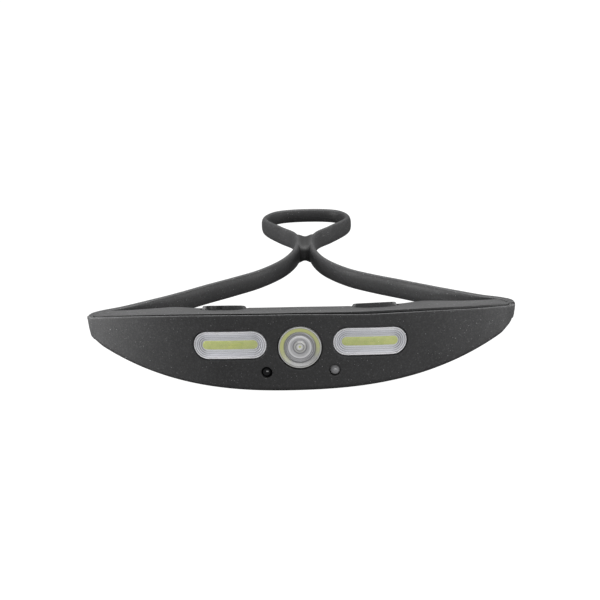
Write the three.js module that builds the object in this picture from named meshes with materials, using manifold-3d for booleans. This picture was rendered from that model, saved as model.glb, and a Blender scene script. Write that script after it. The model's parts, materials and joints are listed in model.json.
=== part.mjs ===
// A one-piece silicone headlamp: a curved lamp body with two COB floodlights, a spotlight and a hand-wave
// sensor, on a stretch strap that is pinched at the back into a small hanging loop.
// Millimetres, +Z up. The beams point along -Y and the head is on the +Y side.
// The origin is the middle of the flat land on the forehead pad.
// "Left" is the -X side, as seen by someone looking at the lamp from the front.
import * as THREE from "three";
import { mergeVertices } from "three/addons/utils/BufferGeometryUtils.js";
import Module from "manifold-3d";

const wasm = await Module();
wasm.setup();
const { degToRad, lerp, smoothstep } = THREE.MathUtils;

// ---- Driving dimensions -------------------------------------------------------------------------------
const CLEARANCE = 0.3; // gap between neighbouring pieces
const BODY_DEPTH = 19; // front face to back face, at the middle
const PAD_DEPTH = 1; // forehead pad, proud of the back face
const FRONT_Y = -(BODY_DEPTH + PAD_DEPTH);
const FRONT_RADIUS = 121; // the front face's bend round the forehead
const BEND_Y = FRONT_Y + FRONT_RADIUS; // where the bend's axis is
const FACE_ANGLE = 39.3; // degrees each side that the front face spans
const END_RADIUS = 6.5; // the outer bend from the lamp body into the strap
const END_TURN = 40; // degrees of that bend that belong to the body
const TOP_Z = 11.7;
const TOP_FALL = 6.7; // how far the top edge falls by OUTLINE_X
const TOP_POWER = 2.6;
const BOTTOM_Z = -16.8;
const BOTTOM_RISE = 12;
const BOTTOM_POWER = 2.85;
const OUTLINE_X = 75.3;
const WING_START_X = 36; // the body gets thinner from here to its ends
const END_DEPTH = 5.4;
const TIP_TOP = 4.7; // the body's top and bottom where it turns into the strap
const TIP_BOTTOM = -2.4;
const TIP_LEAN = 1.2; // how far the tip's lower edge leans inwards
const COVER_DEPTH = 2; // the front cover's thickness
const SHELL_FRONT = COVER_DEPTH + CLEARANCE;

const STRAP_HEIGHT = 7.2; // of the ribbon along the arms
const STRAP_THICKNESS = 2.9;
const ROOT_Z = 0.9; // the ribbon's middle where it leaves the body
const LOOP_HEIGHT = 5; // the ribbon is narrower round the hanging loop
const BRIDGE_HEIGHT = 7.8; // where the two arms join behind the head

const COB_X = 25.3;
const COB_HALF_LENGTH = 13.45; // of the clear window
const COB_RADIUS = 5.05;
const COB_TILT = 2.8; // degrees that the outer ends droop
const LIGHT_LENGTH = 20.6; // of the phosphor strip
const LIGHT_WIDTH = 3.3;
const SPOT_Z = -0.8;
const SPOT_RADIUS = 7.75;
const SENSOR_X = 12.2;
const SENSOR_Z = -9.8;
const SENSOR_RADIUS = 1.75;

const BUTTON_X = 27;
const BUTTON_DEPTH = 10; // behind the front face
const BUTTON_LENGTH = 17.6;
const BUTTON_WIDTH = 7;
const BUTTON_RISE = 0.55; // above the top face, at the pad's middle
const BUTTON_LEAN = 0.35; // radians the pads tip back, towards the face's rear
const BUTTON_TILT = 3; // degrees: the top edge falls away to each side

const USB_DEPTH = 7.95; // behind the front face
const FLAP_HALF_LENGTH = 8.9;
const FLAP_WIDTH = 7.9;
const FLAP_THICKNESS = 1.5;

// ---- Materials ----------------------------------------------------------------------------------------
function finish(color, roughness, metalness = 0) {
  return new THREE.MeshStandardMaterial({ color, roughness, metalness });
}
const silicone = finish(0x2b2c2e, 0.75);
const blackPlastic = finish(0x1c1c1e, 0.55);
const whitePlastic = finish(0xd8d8dc, 0.45);
const clearPlastic = finish(0xe4e6ea, 0.08);
const darkLens = finish(0x08080a, 0.1);
const phosphor = finish(0xb7c052, 0.5);
const boardGreen = finish(0x1f5a37, 0.6);
const boardWhite = finish(0xe8e8e6, 0.5);
const steel = finish(0xb8babd, 0.35, 1);
const cellWrap = finish(0x9fa4ab, 0.4, 0.6);
const redWire = finish(0xa3211c, 0.5);
const blackWire = finish(0x141414, 0.5);

// ---- Solids -------------------------------------------------------------------------------------------
// A closed geometry as a manifold solid, placed by a matrix.
function solid(geometry, matrix = new THREE.Matrix4()) {
  const bare = geometry.index ? geometry.toNonIndexed() : geometry.clone();
  bare.deleteAttribute("normal");
  bare.deleteAttribute("uv");
  const merged = mergeVertices(bare.applyMatrix4(matrix), 1e-4);
  return new wasm.Manifold(
    new wasm.Mesh({
      numProp: 3,
      vertProperties: merged.attributes.position.array,
      triVerts: new Uint32Array(merged.index.array),
    }),
  );
}

function geometryOf(manifold) {
  const mesh = manifold.getMesh();
  const positions = new Float32Array(mesh.numVert * 3);
  for (let i = 0; i < mesh.numVert; i++) {
    positions.set(mesh.vertProperties.subarray(i * mesh.numProp, i * mesh.numProp + 3), i * 3);
  }
  return new THREE.BufferGeometry()
    .setAttribute("position", new THREE.BufferAttribute(positions, 3))
    .setIndex(new THREE.BufferAttribute(mesh.triVerts, 1));
}

// A closed skin through rings of points, each ring convex and with the same number of points.
function loft(rings) {
  const count = rings[0].length;
  const points = rings.flat();
  const faces = [];
  for (let r = 0; r + 1 < rings.length; r++) {
    for (let i = 0; i < count; i++) {
      const a = r * count + i;
      const b = r * count + ((i + 1) % count);
      faces.push([a, b, b + count], [a, b + count, a + count]);
    }
  }
  const last = (rings.length - 1) * count;
  for (let i = 1; i + 1 < count; i++) {
    faces.push([0, i + 1, i], [last, last + i, last + i + 1]);
  }
  const volume = faces.reduce((sum, [a, b, c]) => {
    return sum + points[a].dot(new THREE.Vector3().crossVectors(points[b], points[c]));
  }, 0);
  if (volume < 0) faces.forEach((face) => face.reverse());
  return new THREE.BufferGeometry()
    .setAttribute("position", new THREE.Float32BufferAttribute(points.flatMap((p) => p.toArray()), 3))
    .setIndex(faces.flat());
}

function stadium(halfLength, radius) {
  const run = halfLength - radius;
  const shape = new THREE.Shape();
  shape.absarc(run, 0, radius, -Math.PI / 2, Math.PI / 2, false);
  shape.absarc(-run, 0, radius, Math.PI / 2, (3 * Math.PI) / 2, false);
  shape.closePath();
  return shape;
}

// A shape standing on the XY plane, from z = low to z = high.
function plate(shape, low, high, curveSegments = 10) {
  const depth = high - low;
  return new THREE.ExtrudeGeometry(shape, { depth, bevelEnabled: false, curveSegments }).translate(0, 0, low);
}

function block(x, y, z, cx = 0, cy = 0, cz = 0) {
  return new THREE.BoxGeometry(x, y, z).translate(cx, cy, cz);
}

// A round solid about the Z axis from [radius, z] pairs that start and end on the axis.
function turned(profile, segments = 32) {
  const points = profile.map(([r, z]) => new THREE.Vector2(r, z));
  if (THREE.ShapeUtils.area(points) < 0) points.reverse();
  return new THREE.LatheGeometry(points, segments).rotateX(Math.PI / 2);
}

function wire(points, radius) {
  const curve = new THREE.CatmullRomCurve3(points.map((p) => new THREE.Vector3(...p)));
  const section = new THREE.Shape().absarc(0, 0, radius, 0, 2 * Math.PI, false);
  const options = { steps: 12, extrudePath: curve, bevelEnabled: false, curveSegments: 8 };
  return new THREE.ExtrudeGeometry(section, options);
}

// ---- Where things go ----------------------------------------------------------------------------------
const lamp = new THREE.Group();

// A bay is a place on the front face: x to the side, y up, z out along the beam, 0 on the face itself.
function bay(x, z, tilt = 0) {
  const bend = new THREE.Group();
  bend.position.set(0, BEND_Y, 0);
  bend.rotation.z = Math.asin(x / FRONT_RADIUS);
  const seat = new THREE.Group();
  seat.position.set(0, -FRONT_RADIUS, z);
  seat.rotation.set(Math.PI / 2, 0, degToRad(tilt));
  bend.add(seat);
  lamp.add(bend);
  lamp.updateMatrixWorld(true);
  return seat;
}

function add(name, geometry, material, parent = lamp) {
  const mesh = new THREE.Mesh(geometry, material);
  mesh.name = name;
  parent.add(mesh);
  return mesh;
}

const SIDES = [
  ["left", -1],
  ["right", 1],
];
const cobBays = { left: bay(-COB_X, 0, COB_TILT), right: bay(COB_X, 0, -COB_TILT) };
const spotBay = bay(0, SPOT_Z);
// The place on the face that is straight ahead of a button.
const BUTTON_BAY_X = (BUTTON_X * FRONT_RADIUS) / (FRONT_RADIUS - BUTTON_DEPTH);
const buttonBays = { left: bay(-BUTTON_BAY_X, 0), right: bay(BUTTON_BAY_X, 0) };

// ---- The body's outline -------------------------------------------------------------------------------
const share = (x) => Math.abs(x) / OUTLINE_X;
const topZ = (x) => TOP_Z - TOP_FALL * share(x) ** TOP_POWER;
const bottomZ = (x) => BOTTOM_Z + BOTTOM_RISE * share(x) ** BOTTOM_POWER;
const depthAt = (x) => lerp(BODY_DEPTH, END_DEPTH, smoothstep(Math.abs(x), WING_START_X, OUTLINE_X));

// A station across the body: where it is, which way is inward, its top and bottom and its depth.
function stationOnFace(degrees) {
  const a = degToRad(degrees);
  const out = new THREE.Vector2(Math.sin(a), -Math.cos(a));
  const at = out.clone().multiplyScalar(FRONT_RADIUS).add(new THREE.Vector2(0, BEND_Y));
  return { at, out, top: topZ(at.x), bottom: bottomZ(at.x), depth: depthAt(at.x), lean: 0 };
}

const END_REACH = FRONT_RADIUS - END_RADIUS; // from the bend's axis to the end bend's own axis

function stationOnEnd(side, turn) {
  const edge = stationOnFace(side * FACE_ANGLE);
  const hub = edge.out.clone().multiplyScalar(END_REACH).add(new THREE.Vector2(0, BEND_Y));
  const a = degToRad(side * (FACE_ANGLE + turn));
  const out = new THREE.Vector2(Math.sin(a), -Math.cos(a));
  const blend = smoothstep(turn, 0, END_TURN);
  return {
    at: out.clone().multiplyScalar(END_RADIUS).add(hub),
    out,
    top: lerp(edge.top, TIP_TOP, blend),
    bottom: lerp(edge.bottom, TIP_BOTTOM, blend),
    depth: lerp(edge.depth, STRAP_THICKNESS + 0.9, blend),
    lean: TIP_LEAN * blend,
  };
}

const FACE_STEPS = 22;
const END_STEPS = 4;

function bodyStations() {
  const stations = [];
  for (let i = END_STEPS; i > 0; i--) stations.push(stationOnEnd(-1, (END_TURN * i) / END_STEPS));
  for (let i = 0; i <= FACE_STEPS; i++) {
    stations.push(stationOnFace(lerp(-FACE_ANGLE, FACE_ANGLE, i / FACE_STEPS)));
  }
  for (let i = 1; i <= END_STEPS; i++) stations.push(stationOnEnd(1, (END_TURN * i) / END_STEPS));
  return stations;
}

// One ring of a body section. The profile is [depth behind the face, share of the half height] pairs for
// the upper half, front to back; the lower half mirrors it.
function ring(station, profile) {
  const middle = (station.top + station.bottom) / 2;
  const half = (station.top - station.bottom) / 2;
  const point = ([depth, reach], sign) => {
    const lean = sign < 0 ? station.lean : 0;
    const { x, y } = station.at.clone().addScaledVector(station.out, -(depth + lean));
    return new THREE.Vector3(x, y, middle + sign * reach * half);
  };
  const upper = profile.map((p) => point(p, 1));
  const lower = profile.map((p) => point(p, -1)).reverse();
  return [...upper, ...lower];
}

const insetShare = (station, inset) => 1 - inset / ((station.top - station.bottom) / 2);

// ---- Silicone: front cover, body shell, strap ---------------------------------------------------------
const APERTURE_GAP = 0.3;

function frontCover() {
  const rings = bodyStations().map((s) =>
    ring(s, [
      [0, insetShare(s, 0.9)],
      [0.35, insetShare(s, 0.25)],
      [0.9, 1],
      [COVER_DEPTH, 1],
    ]),
  );
  let cover = solid(loft(rings));
  for (const seat of Object.values(cobBays)) {
    const hole = plate(stadium(COB_HALF_LENGTH + APERTURE_GAP, COB_RADIUS + APERTURE_GAP), -5, 5, 12);
    cover = cover.subtract(solid(hole, seat.matrixWorld));
  }
  const round = new THREE.CylinderGeometry(SPOT_RADIUS + APERTURE_GAP, SPOT_RADIUS + APERTURE_GAP, 10, 40);
  cover = cover.subtract(solid(round.rotateX(Math.PI / 2), spotBay.matrixWorld));
  for (const [, sign] of SIDES) {
    const bore = new THREE.CylinderGeometry(SENSOR_RADIUS + 0.25, SENSOR_RADIUS + 0.25, 12, 24);
    bore.translate(sign * SENSOR_X, FRONT_Y, SENSOR_Z);
    cover = cover.subtract(solid(bore));
  }
  return geometryOf(cover);
}

const TOP_WALL = 1.8;
const BOTTOM_WALL = 3.2;
const BACK_WALL = 1.6;
const CAVITY_ANGLE = 27; // degrees each side
const CAVITY_STEPS = 14;
const FLAP_Z = BOTTOM_Z - 0.4; // the flap's outer face
const FLAP_Y = FRONT_Y + USB_DEPTH;

function shellCavity() {
  const rings = [];
  for (let i = 0; i <= CAVITY_STEPS; i++) {
    const s = stationOnFace(lerp(-CAVITY_ANGLE, CAVITY_ANGLE, i / CAVITY_STEPS));
    const back = s.depth - BACK_WALL;
    const inner = { ...s, top: s.top - TOP_WALL, bottom: s.bottom + BOTTOM_WALL };
    rings.push(
      ring(inner, [
        [SHELL_FRONT - 1, 1],
        [back - 3.5, insetShare(inner, 1)],
        [back, insetShare(inner, 3)],
      ]),
    );
  }
  return solid(loft(rings));
}

function buttonCutter(grow) {
  const centreZ = topZ(BUTTON_X);
  return block(BUTTON_LENGTH + 2 * grow, 9, BUTTON_WIDTH + 2 * grow, 0, centreZ, -BUTTON_DEPTH);
}

const PAD_WIDTH = 15; // height of the forehead pad
const PAD_ANGLE = 17;
const PAD_RECESS = 0.6;

// A slab bent like the body, between two depths behind the front face.
function bentSlab(angle, front, back, low, high, steps) {
  const rings = [];
  for (let i = 0; i <= steps; i++) {
    const s = stationOnFace(lerp(-angle, angle, i / steps));
    rings.push(ring({ ...s, top: high, bottom: low }, [[front, 1], [back, 1]]));
  }
  return loft(rings);
}

function bodyShell() {
  const rings = bodyStations().map((s) => {
    const span = s.depth - SHELL_FRONT;
    const at = (part) => SHELL_FRONT + part * span;
    return ring(s, [
      [at(0), 1],
      [at(0.25), 1],
      [at(0.45), 0.975],
      [at(0.62), 0.935],
      [at(0.8), 0.85],
      [at(0.93), 0.74],
      [at(1), 0.6],
    ]);
  });
  let shell = solid(loft(rings)).subtract(shellCavity());
  for (const [side, sign] of SIDES) {
    const tilt = new THREE.Matrix4().makeRotationZ(degToRad(-sign * BUTTON_TILT));
    const seat = buttonBays[side].matrixWorld.clone().multiply(tilt);
    shell = shell.subtract(solid(buttonCutter(CLEARANCE), seat));
  }
  const padHalf = PAD_WIDTH / 2 + CLEARANCE;
  const padCut = bentSlab(PAD_ANGLE + 0.2, BODY_DEPTH - PAD_RECESS, BODY_DEPTH + 2, -padHalf, padHalf, 9);
  const roof = FLAP_Z + FLAP_THICKNESS + CLEARANCE;
  const pocketLength = 2 * (FLAP_HALF_LENGTH + CLEARANCE);
  const pocket = block(pocketLength, FLAP_WIDTH + 2 * CLEARANCE, 3, 0, FLAP_Y, roof - 1.5);
  const socketHole = block(9.5, 3.8, 8, 0, FLAP_Y, BOTTOM_Z + 4);
  shell = shell.subtract(solid(padCut)).subtract(solid(pocket)).subtract(solid(socketHole));
  return geometryOf(shell);
}

// The strap's middle line on the right-hand side, from the body's end round to the back of the loop.
const NECK_X = 3;
const STRAP_LINE = [
  [77.48, 11.46],
  [76.7, 14.9],
  [73.6, 17.8],
  [66.8, 21.6],
  [59.9, 26.8],
  [49.1, 36.2],
  [38.2, 46.3],
  [27, 55.9],
  [17.4, 65.4],
  [8.9, 79],
  [4.6, 91.5],
  [NECK_X, 102],
  [NECK_X, 112.5],
  [5, 121],
  [10.4, 129.7],
  [17.3, 145.3],
  [12.9, 157.4],
  [0, 160.6],
].map(([x, y]) => new THREE.Vector3(x, y, 0));

const strapCurve = new THREE.CatmullRomCurve3(
  [...STRAP_LINE, ...STRAP_LINE.slice(0, -1).reverse().map((p) => new THREE.Vector3(-p.x, p.y, 0))],
  false,
  "centripetal",
);
const STRAP_SAMPLES = 600;
const strapPoints = strapCurve.getSpacedPoints(STRAP_SAMPLES);

// The ribbon's cross-section, flat faces with round edges: shares of half the thickness and half the height.
const RIBBON = [
  [1, -0.45],
  [1, 0.45],
  [0.8, 0.8],
  [0.35, 1],
  [-0.35, 1],
  [-0.8, 0.8],
  [-1, 0.45],
  [-1, -0.45],
  [-0.8, -0.8],
  [-0.35, -1],
  [0.35, -1],
  [0.8, -0.8],
];
const BRIDGE_START_Y = 102; // where the arms meet the bridge
const BRIDGE_END_Y = 114; // where the loop starts

// The ribbon keeps its height along the arms and gets narrower round the loop.
function ribbonHeight(y) {
  return lerp(STRAP_HEIGHT, LOOP_HEIGHT, smoothstep(y, 125, 161));
}

// The ribbon's middle comes down to the head's own level as it leaves the body.
function ribbonZ(y) {
  return lerp(ROOT_Z, 0, smoothstep(y, 14, 40));
}

function ribbon(from, to, steps) {
  const rings = [];
  for (let i = 0; i <= steps; i++) {
    const index = Math.round(lerp(from, to, i / steps));
    const p = strapPoints[index];
    const next = strapPoints[Math.min(index + 1, STRAP_SAMPLES)];
    const along = next.clone().sub(strapPoints[Math.max(index - 1, 0)]);
    const side = new THREE.Vector3(along.y, -along.x, 0).normalize();
    rings.push(
      RIBBON.map(([t, h]) => {
        const point = p.clone().addScaledVector(side, (t * STRAP_THICKNESS) / 2);
        return point.setZ(ribbonZ(p.y) + (h * ribbonHeight(p.y)) / 2);
      }),
    );
  }
  return loft(rings);
}

const firstPast = (y) => strapPoints.findIndex((p) => p.y > y);
const ARM_START = 5; // samples left clear of the body shell
const ARM_STEPS = 34;
const LOOP_STEPS = 44;

function strapBridge() {
  const half = NECK_X + STRAP_THICKNESS / 2;
  const length = BRIDGE_END_Y - BRIDGE_START_Y - 2 * CLEARANCE;
  return block(2 * half, length, BRIDGE_HEIGHT, 0, (BRIDGE_START_Y + BRIDGE_END_Y) / 2, 0);
}

function strap() {
  const armEnd = firstPast(BRIDGE_START_Y);
  const loopStart = firstPast(BRIDGE_END_Y);
  add("strap_arm_right", ribbon(ARM_START, armEnd - 1, ARM_STEPS), silicone);
  add("strap_arm_left", ribbon(STRAP_SAMPLES - ARM_START, STRAP_SAMPLES - armEnd + 1, ARM_STEPS), silicone);
  add("strap_bridge", strapBridge(), silicone);
  add("hang_loop", ribbon(loopStart + 1, STRAP_SAMPLES - loopStart - 1, LOOP_STEPS), silicone);
}

// The pad is bent like the body, with a flat land in the middle that is the lamp's own datum.
const LAND_HALF_WIDTH = 9;

function foreheadPad() {
  const front = BODY_DEPTH - PAD_RECESS + CLEARANCE;
  const half = PAD_WIDTH / 2;
  const slab = solid(bentSlab(PAD_ANGLE, front, BODY_DEPTH + PAD_DEPTH + 2, -half, half, 9));
  const inside = bentSlab(PAD_ANGLE + 1, BODY_DEPTH + PAD_DEPTH, BODY_DEPTH + PAD_DEPTH + 9, -20, 20, 10);
  const land = block(2 * LAND_HALF_WIDTH, 3, PAD_WIDTH, 0, -1.5, 0);
  const keep = block(200, 200, 40, 0, -100, 0);
  const flat = solid(land);
  return geometryOf(slab.intersect(solid(keep).add(flat)).subtract(solid(inside).subtract(flat)));
}

// ---- Optics -------------------------------------------------------------------------------------------
const FLANGE_LIP = 0.9; // how far a flange reaches past its window
// How far the bent face falls behind a flat one.
const fallAt = (reach) => FRONT_RADIUS - Math.sqrt(FRONT_RADIUS ** 2 - reach ** 2);
const FLANGE_FRONT = -(COVER_DEPTH + fallAt(COB_HALF_LENGTH + FLANGE_LIP) + CLEARANCE);
const FLANGE_BACK = FLANGE_FRONT - 0.8;
const SEAL_FRONT = FLANGE_BACK - CLEARANCE;
const SEAL_BACK = SEAL_FRONT - 0.6;
const FRAME_FRONT = SEAL_BACK - CLEARANCE;
const FRAME_BACK = FRAME_FRONT - 0.9;

function ringPlate(outer, inner, low, high) {
  outer.holes.push(new THREE.Path(inner.getPoints(10).reverse()));
  return plate(outer, low, high);
}

const WINDOW_RECESS = 0.2;

// The window's face is bent like the front face; its flange is flat.
function cobWindow() {
  const bendRadius = FRONT_RADIUS - WINDOW_RECESS;
  const bend = new THREE.CylinderGeometry(bendRadius, bendRadius, 40, 240).translate(0, 0, -FRONT_RADIUS);
  const pane = plate(stadium(COB_HALF_LENGTH, COB_RADIUS), FLANGE_FRONT - 0.1, 1);
  const face = solid(pane).intersect(solid(bend));
  const rim = stadium(COB_HALF_LENGTH + FLANGE_LIP, COB_RADIUS + FLANGE_LIP);
  const flange = plate(rim, FLANGE_BACK, FLANGE_FRONT);
  return geometryOf(face.add(solid(flange)));
}

function windowSeal() {
  return ringPlate(
    stadium(COB_HALF_LENGTH + FLANGE_LIP, COB_RADIUS + FLANGE_LIP),
    stadium(COB_HALF_LENGTH - 0.4, COB_RADIUS - 0.4),
    SEAL_BACK,
    SEAL_FRONT,
  );
}

const TUB_BACK = FRAME_FRONT - 2.9;
const TUB_STEPS = [
  [0.7, 0.8],
  [1.35, 1.6],
  [2.0, 2.4],
];

// A stepped white tub round the phosphor strip.
function cobReflector() {
  let tub = solid(plate(stadium(COB_HALF_LENGTH, COB_RADIUS), TUB_BACK, FRAME_FRONT));
  for (const [inset, depth] of TUB_STEPS) {
    const terrace = stadium(COB_HALF_LENGTH - inset, COB_RADIUS - inset);
    const hollow = plate(terrace, FRAME_FRONT - depth, FRAME_FRONT + 1);
    tub = tub.subtract(solid(hollow));
  }
  const slot = plate(stadium(LIGHT_LENGTH / 2 + 0.3, LIGHT_WIDTH / 2 + 0.3), TUB_BACK - 1, FRAME_FRONT);
  return geometryOf(tub.subtract(solid(slot)));
}

const PHOSPHOR_FRONT = TUB_BACK + 0.5;
const PHOSPHOR_BACK = TUB_BACK - 0.2;
const COB_BOARD_FRONT = PHOSPHOR_BACK - 0.1;
const COB_BOARD_BACK = COB_BOARD_FRONT - 0.8;

function floodlights() {
  for (const [side] of SIDES) {
    const seat = cobBays[side];
    add(`cob_window_${side}`, cobWindow(), clearPlastic, seat);
    add(`window_seal_${side}`, windowSeal(), silicone, seat);
    add(`cob_reflector_${side}`, cobReflector(), whitePlastic, seat);
    const strip = stadium(LIGHT_LENGTH / 2, LIGHT_WIDTH / 2);
    add(`cob_phosphor_${side}`, plate(strip, PHOSPHOR_BACK, PHOSPHOR_FRONT), phosphor, seat);
    const boardMiddle = (COB_BOARD_FRONT + COB_BOARD_BACK) / 2;
    const board = block(22, 8.4, COB_BOARD_FRONT - COB_BOARD_BACK, 0, 0, boardMiddle);
    add(`cob_board_${side}`, board, boardWhite, seat);
  }
}

// The spotlight's lens: a total-internal-reflection cone behind a flanged disc, with a well at each end.
function spotLens() {
  return turned([
    [0, -4.4],
    [1.3, -4.2],
    [2.2, -2.2],
    [3.1, -1.5],
    [4.5, -1.1],
    [5.8, -0.3],
    [SPOT_RADIUS, -0.3],
    [SPOT_RADIUS, FLANGE_FRONT],
    [SPOT_RADIUS + FLANGE_LIP, FLANGE_FRONT],
    [SPOT_RADIUS + FLANGE_LIP, FLANGE_BACK],
    [6.6, FLANGE_BACK],
    [3.9, -8.5],
    [2.9, -8.5],
    [2.6, -7],
    [0, -6.6],
  ]);
}

function spotSeal() {
  const outer = new THREE.Shape().absarc(0, 0, SPOT_RADIUS + FLANGE_LIP, 0, 2 * Math.PI, false);
  const inner = new THREE.Path().absarc(0, 0, SPOT_RADIUS - 0.6, 0, 2 * Math.PI, true);
  outer.holes.push(inner);
  return plate(outer, SEAL_BACK, SEAL_FRONT, 16);
}

function spotHolder() {
  const body = turned([
    [0, -9.4],
    [6.6, -9.4],
    [6.6, -6.6],
    [8.5, FRAME_BACK + 0.2],
    [8.5, FRAME_FRONT],
    [0, FRAME_FRONT],
  ]);
  const hollow = turned([
    [0, -10],
    [4.4, -10],
    [4.4, -8.4],
    [7, FLANGE_BACK],
    [7, FRAME_FRONT + 1],
    [0, FRAME_FRONT + 1],
  ]);
  return geometryOf(solid(body).subtract(solid(hollow)));
}

const BOARD_FRONT = -9.7; // the main board's front face, in the spotlight's bay
const BOARD_THICKNESS = 1;

function spotLed() {
  const package_ = solid(block(3.5, 3.5, 0.8, 0, 0, BOARD_FRONT + 0.5));
  const base = BOARD_FRONT + 0.6;
  const dome = solid(turned([[0, base], [1.3, base], [1.1, base + 0.9], [0, base + 1.4]], 20));
  return geometryOf(package_.add(dome));
}

function spotlight() {
  add("spot_lens", spotLens(), clearPlastic, spotBay);
  add("spot_seal", spotSeal(), silicone, spotBay);
  add("spot_holder", spotHolder(), whitePlastic, spotBay);
  add("spot_led", spotLed(), phosphor, spotBay);
}

// The hand-wave sensor: an infrared emitter and its receiver, both 3 mm class with a collar and two leads.
const sensorFaceY = (x) => BEND_Y - Math.sqrt(FRONT_RADIUS ** 2 - x ** 2);

function sensorLed() {
  const tip = sensorFaceY(SENSOR_X) + 0.1;
  const boardY = FRONT_Y - BOARD_FRONT - 0.1;
  const body = turned([
    [0, 0],
    [0.9, -0.25],
    [1.5, -0.85],
    [SENSOR_RADIUS, -1.7],
    [SENSOR_RADIUS, -6.2],
    [SENSOR_RADIUS + 0.3, -6.2],
    [SENSOR_RADIUS + 0.3, -7],
    [0, -7],
  ], 24).rotateX(Math.PI / 2).translate(0, tip, 0);
  const leadLength = boardY - (tip + 6.8);
  const leads = [-0.8, 0.8].map((x) => solid(block(0.5, leadLength, 0.5, x, tip + 6.8 + leadLength / 2, 0)));
  return geometryOf(leads.reduce((whole, lead) => whole.add(lead), solid(body)));
}

// ---- Inner frame and electronics ----------------------------------------------------------------------
const FRAME_ANGLE = 22;
const SCREW_SITES = [
  [-11.5, 6.6],
  [11.5, 6.6],
  [-7.6, -10.8],
  [7.6, -10.8],
];
const BOSS_RADIUS = 1.5;
const SCREW_RADIUS = 0.7;

function innerFrame() {
  const rings = [];
  for (let i = 0; i <= 12; i++) {
    const s = stationOnFace(lerp(-FRAME_ANGLE, FRAME_ANGLE, i / 12));
    const inner = { ...s, top: s.top - TOP_WALL - 0.5, bottom: s.bottom + BOTTOM_WALL + 0.8 };
    rings.push(ring(inner, [[-FRAME_FRONT, 1], [-FRAME_BACK, 1]]));
  }
  let frame = solid(loft(rings));
  for (const seat of Object.values(cobBays)) {
    const hole = plate(stadium(COB_HALF_LENGTH + CLEARANCE, COB_RADIUS + CLEARANCE), -9, 0);
    frame = frame.subtract(solid(hole, seat.matrixWorld));
  }
  const round = new THREE.CylinderGeometry(8.8, 8.8, 24, 40).rotateX(Math.PI / 2);
  frame = frame.subtract(solid(round, spotBay.matrixWorld));
  for (const [x, z] of SCREW_SITES) {
    const start = sensorFaceY(x) - FRAME_FRONT + 0.2;
    const length = FRONT_Y - BOARD_FRONT - 0.1 - start;
    const boss = new THREE.CylinderGeometry(BOSS_RADIUS, BOSS_RADIUS, length, 16);
    frame = frame.add(solid(boss.translate(x, start + length / 2, z)));
    const bore = new THREE.CylinderGeometry(SCREW_RADIUS + 0.15, SCREW_RADIUS + 0.15, 3.4, 12);
    frame = frame.subtract(solid(bore.translate(x, FRONT_Y - BOARD_FRONT - 1.7, z)));
  }
  for (const [, sign] of SIDES) {
    const bore = new THREE.CylinderGeometry(SENSOR_RADIUS + 0.6, SENSOR_RADIUS + 0.6, 20, 20);
    frame = frame.subtract(solid(bore.translate(sign * SENSOR_X, FRONT_Y, SENSOR_Z)));
  }
  return geometryOf(frame);
}

const BOARD_HALF_WIDTH = 14;
const BOARD_TOP = 8.2;
const BOARD_BOTTOM = -12.4;
const BOARD_FRONT_Y = FRONT_Y - BOARD_FRONT;
const BOARD_BACK_Y = BOARD_FRONT_Y + BOARD_THICKNESS;

function mainBoard() {
  const height = BOARD_TOP - BOARD_BOTTOM;
  const centreZ = (BOARD_TOP + BOARD_BOTTOM) / 2;
  const centreY = BOARD_FRONT_Y + BOARD_THICKNESS / 2;
  let board = solid(block(2 * BOARD_HALF_WIDTH, BOARD_THICKNESS, height, 0, centreY, centreZ));
  for (const [x, z] of SCREW_SITES) {
    const bore = new THREE.CylinderGeometry(SCREW_RADIUS + 0.2, SCREW_RADIUS + 0.2, 4, 12);
    board = board.subtract(solid(bore.translate(x, BOARD_FRONT_Y, z)));
  }
  return geometryOf(board);
}

function boardScrew([x, z]) {
  const head = BOARD_BACK_Y + 0.1;
  const screw = turned([
    [0, 0],
    [SCREW_RADIUS, 0],
    [SCREW_RADIUS, 3.8],
    [1.3, 3.8],
    [1.3, 4.5],
    [0, 4.5],
  ], 12);
  return screw.rotateX(-Math.PI / 2).translate(x, head - 3.8, z);
}

const USB_MOUTH_Z = BOTTOM_Z + 1.7;
const USB_HEIGHT = 5.6;
const USB_OPEN_HALF = 4.17;

function usbSocket() {
  const can = solid(plate(stadium(4.47, 1.58), USB_MOUTH_Z, USB_MOUTH_Z + USB_HEIGHT));
  const mouth = solid(plate(stadium(USB_OPEN_HALF, 1.28), USB_MOUTH_Z - 1, USB_MOUTH_Z + USB_HEIGHT - 0.9));
  const tongue = solid(block(6.7, 0.7, USB_HEIGHT - 2, 0, 0, USB_MOUTH_Z + USB_HEIGHT / 2 + 0.6));
  return geometryOf(can.subtract(mouth).add(tongue).translate([0, FLAP_Y, 0]));
}

const CELL_HALF_LENGTH = 18;
const CELL_THICKNESS = 4.8;
const CELL_Y = -5.75;
const CELL_BOTTOM = -10;
const CELL_TOP = 6;

function batteryCell() {
  const section = stadium(CELL_HALF_LENGTH, CELL_THICKNESS / 2);
  return plate(section, CELL_BOTTOM, CELL_TOP, 6).translate(0, CELL_Y, 0);
}

const LEAD_Y = BOARD_BACK_Y + 0.55; // leads lie just behind the main board

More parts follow.
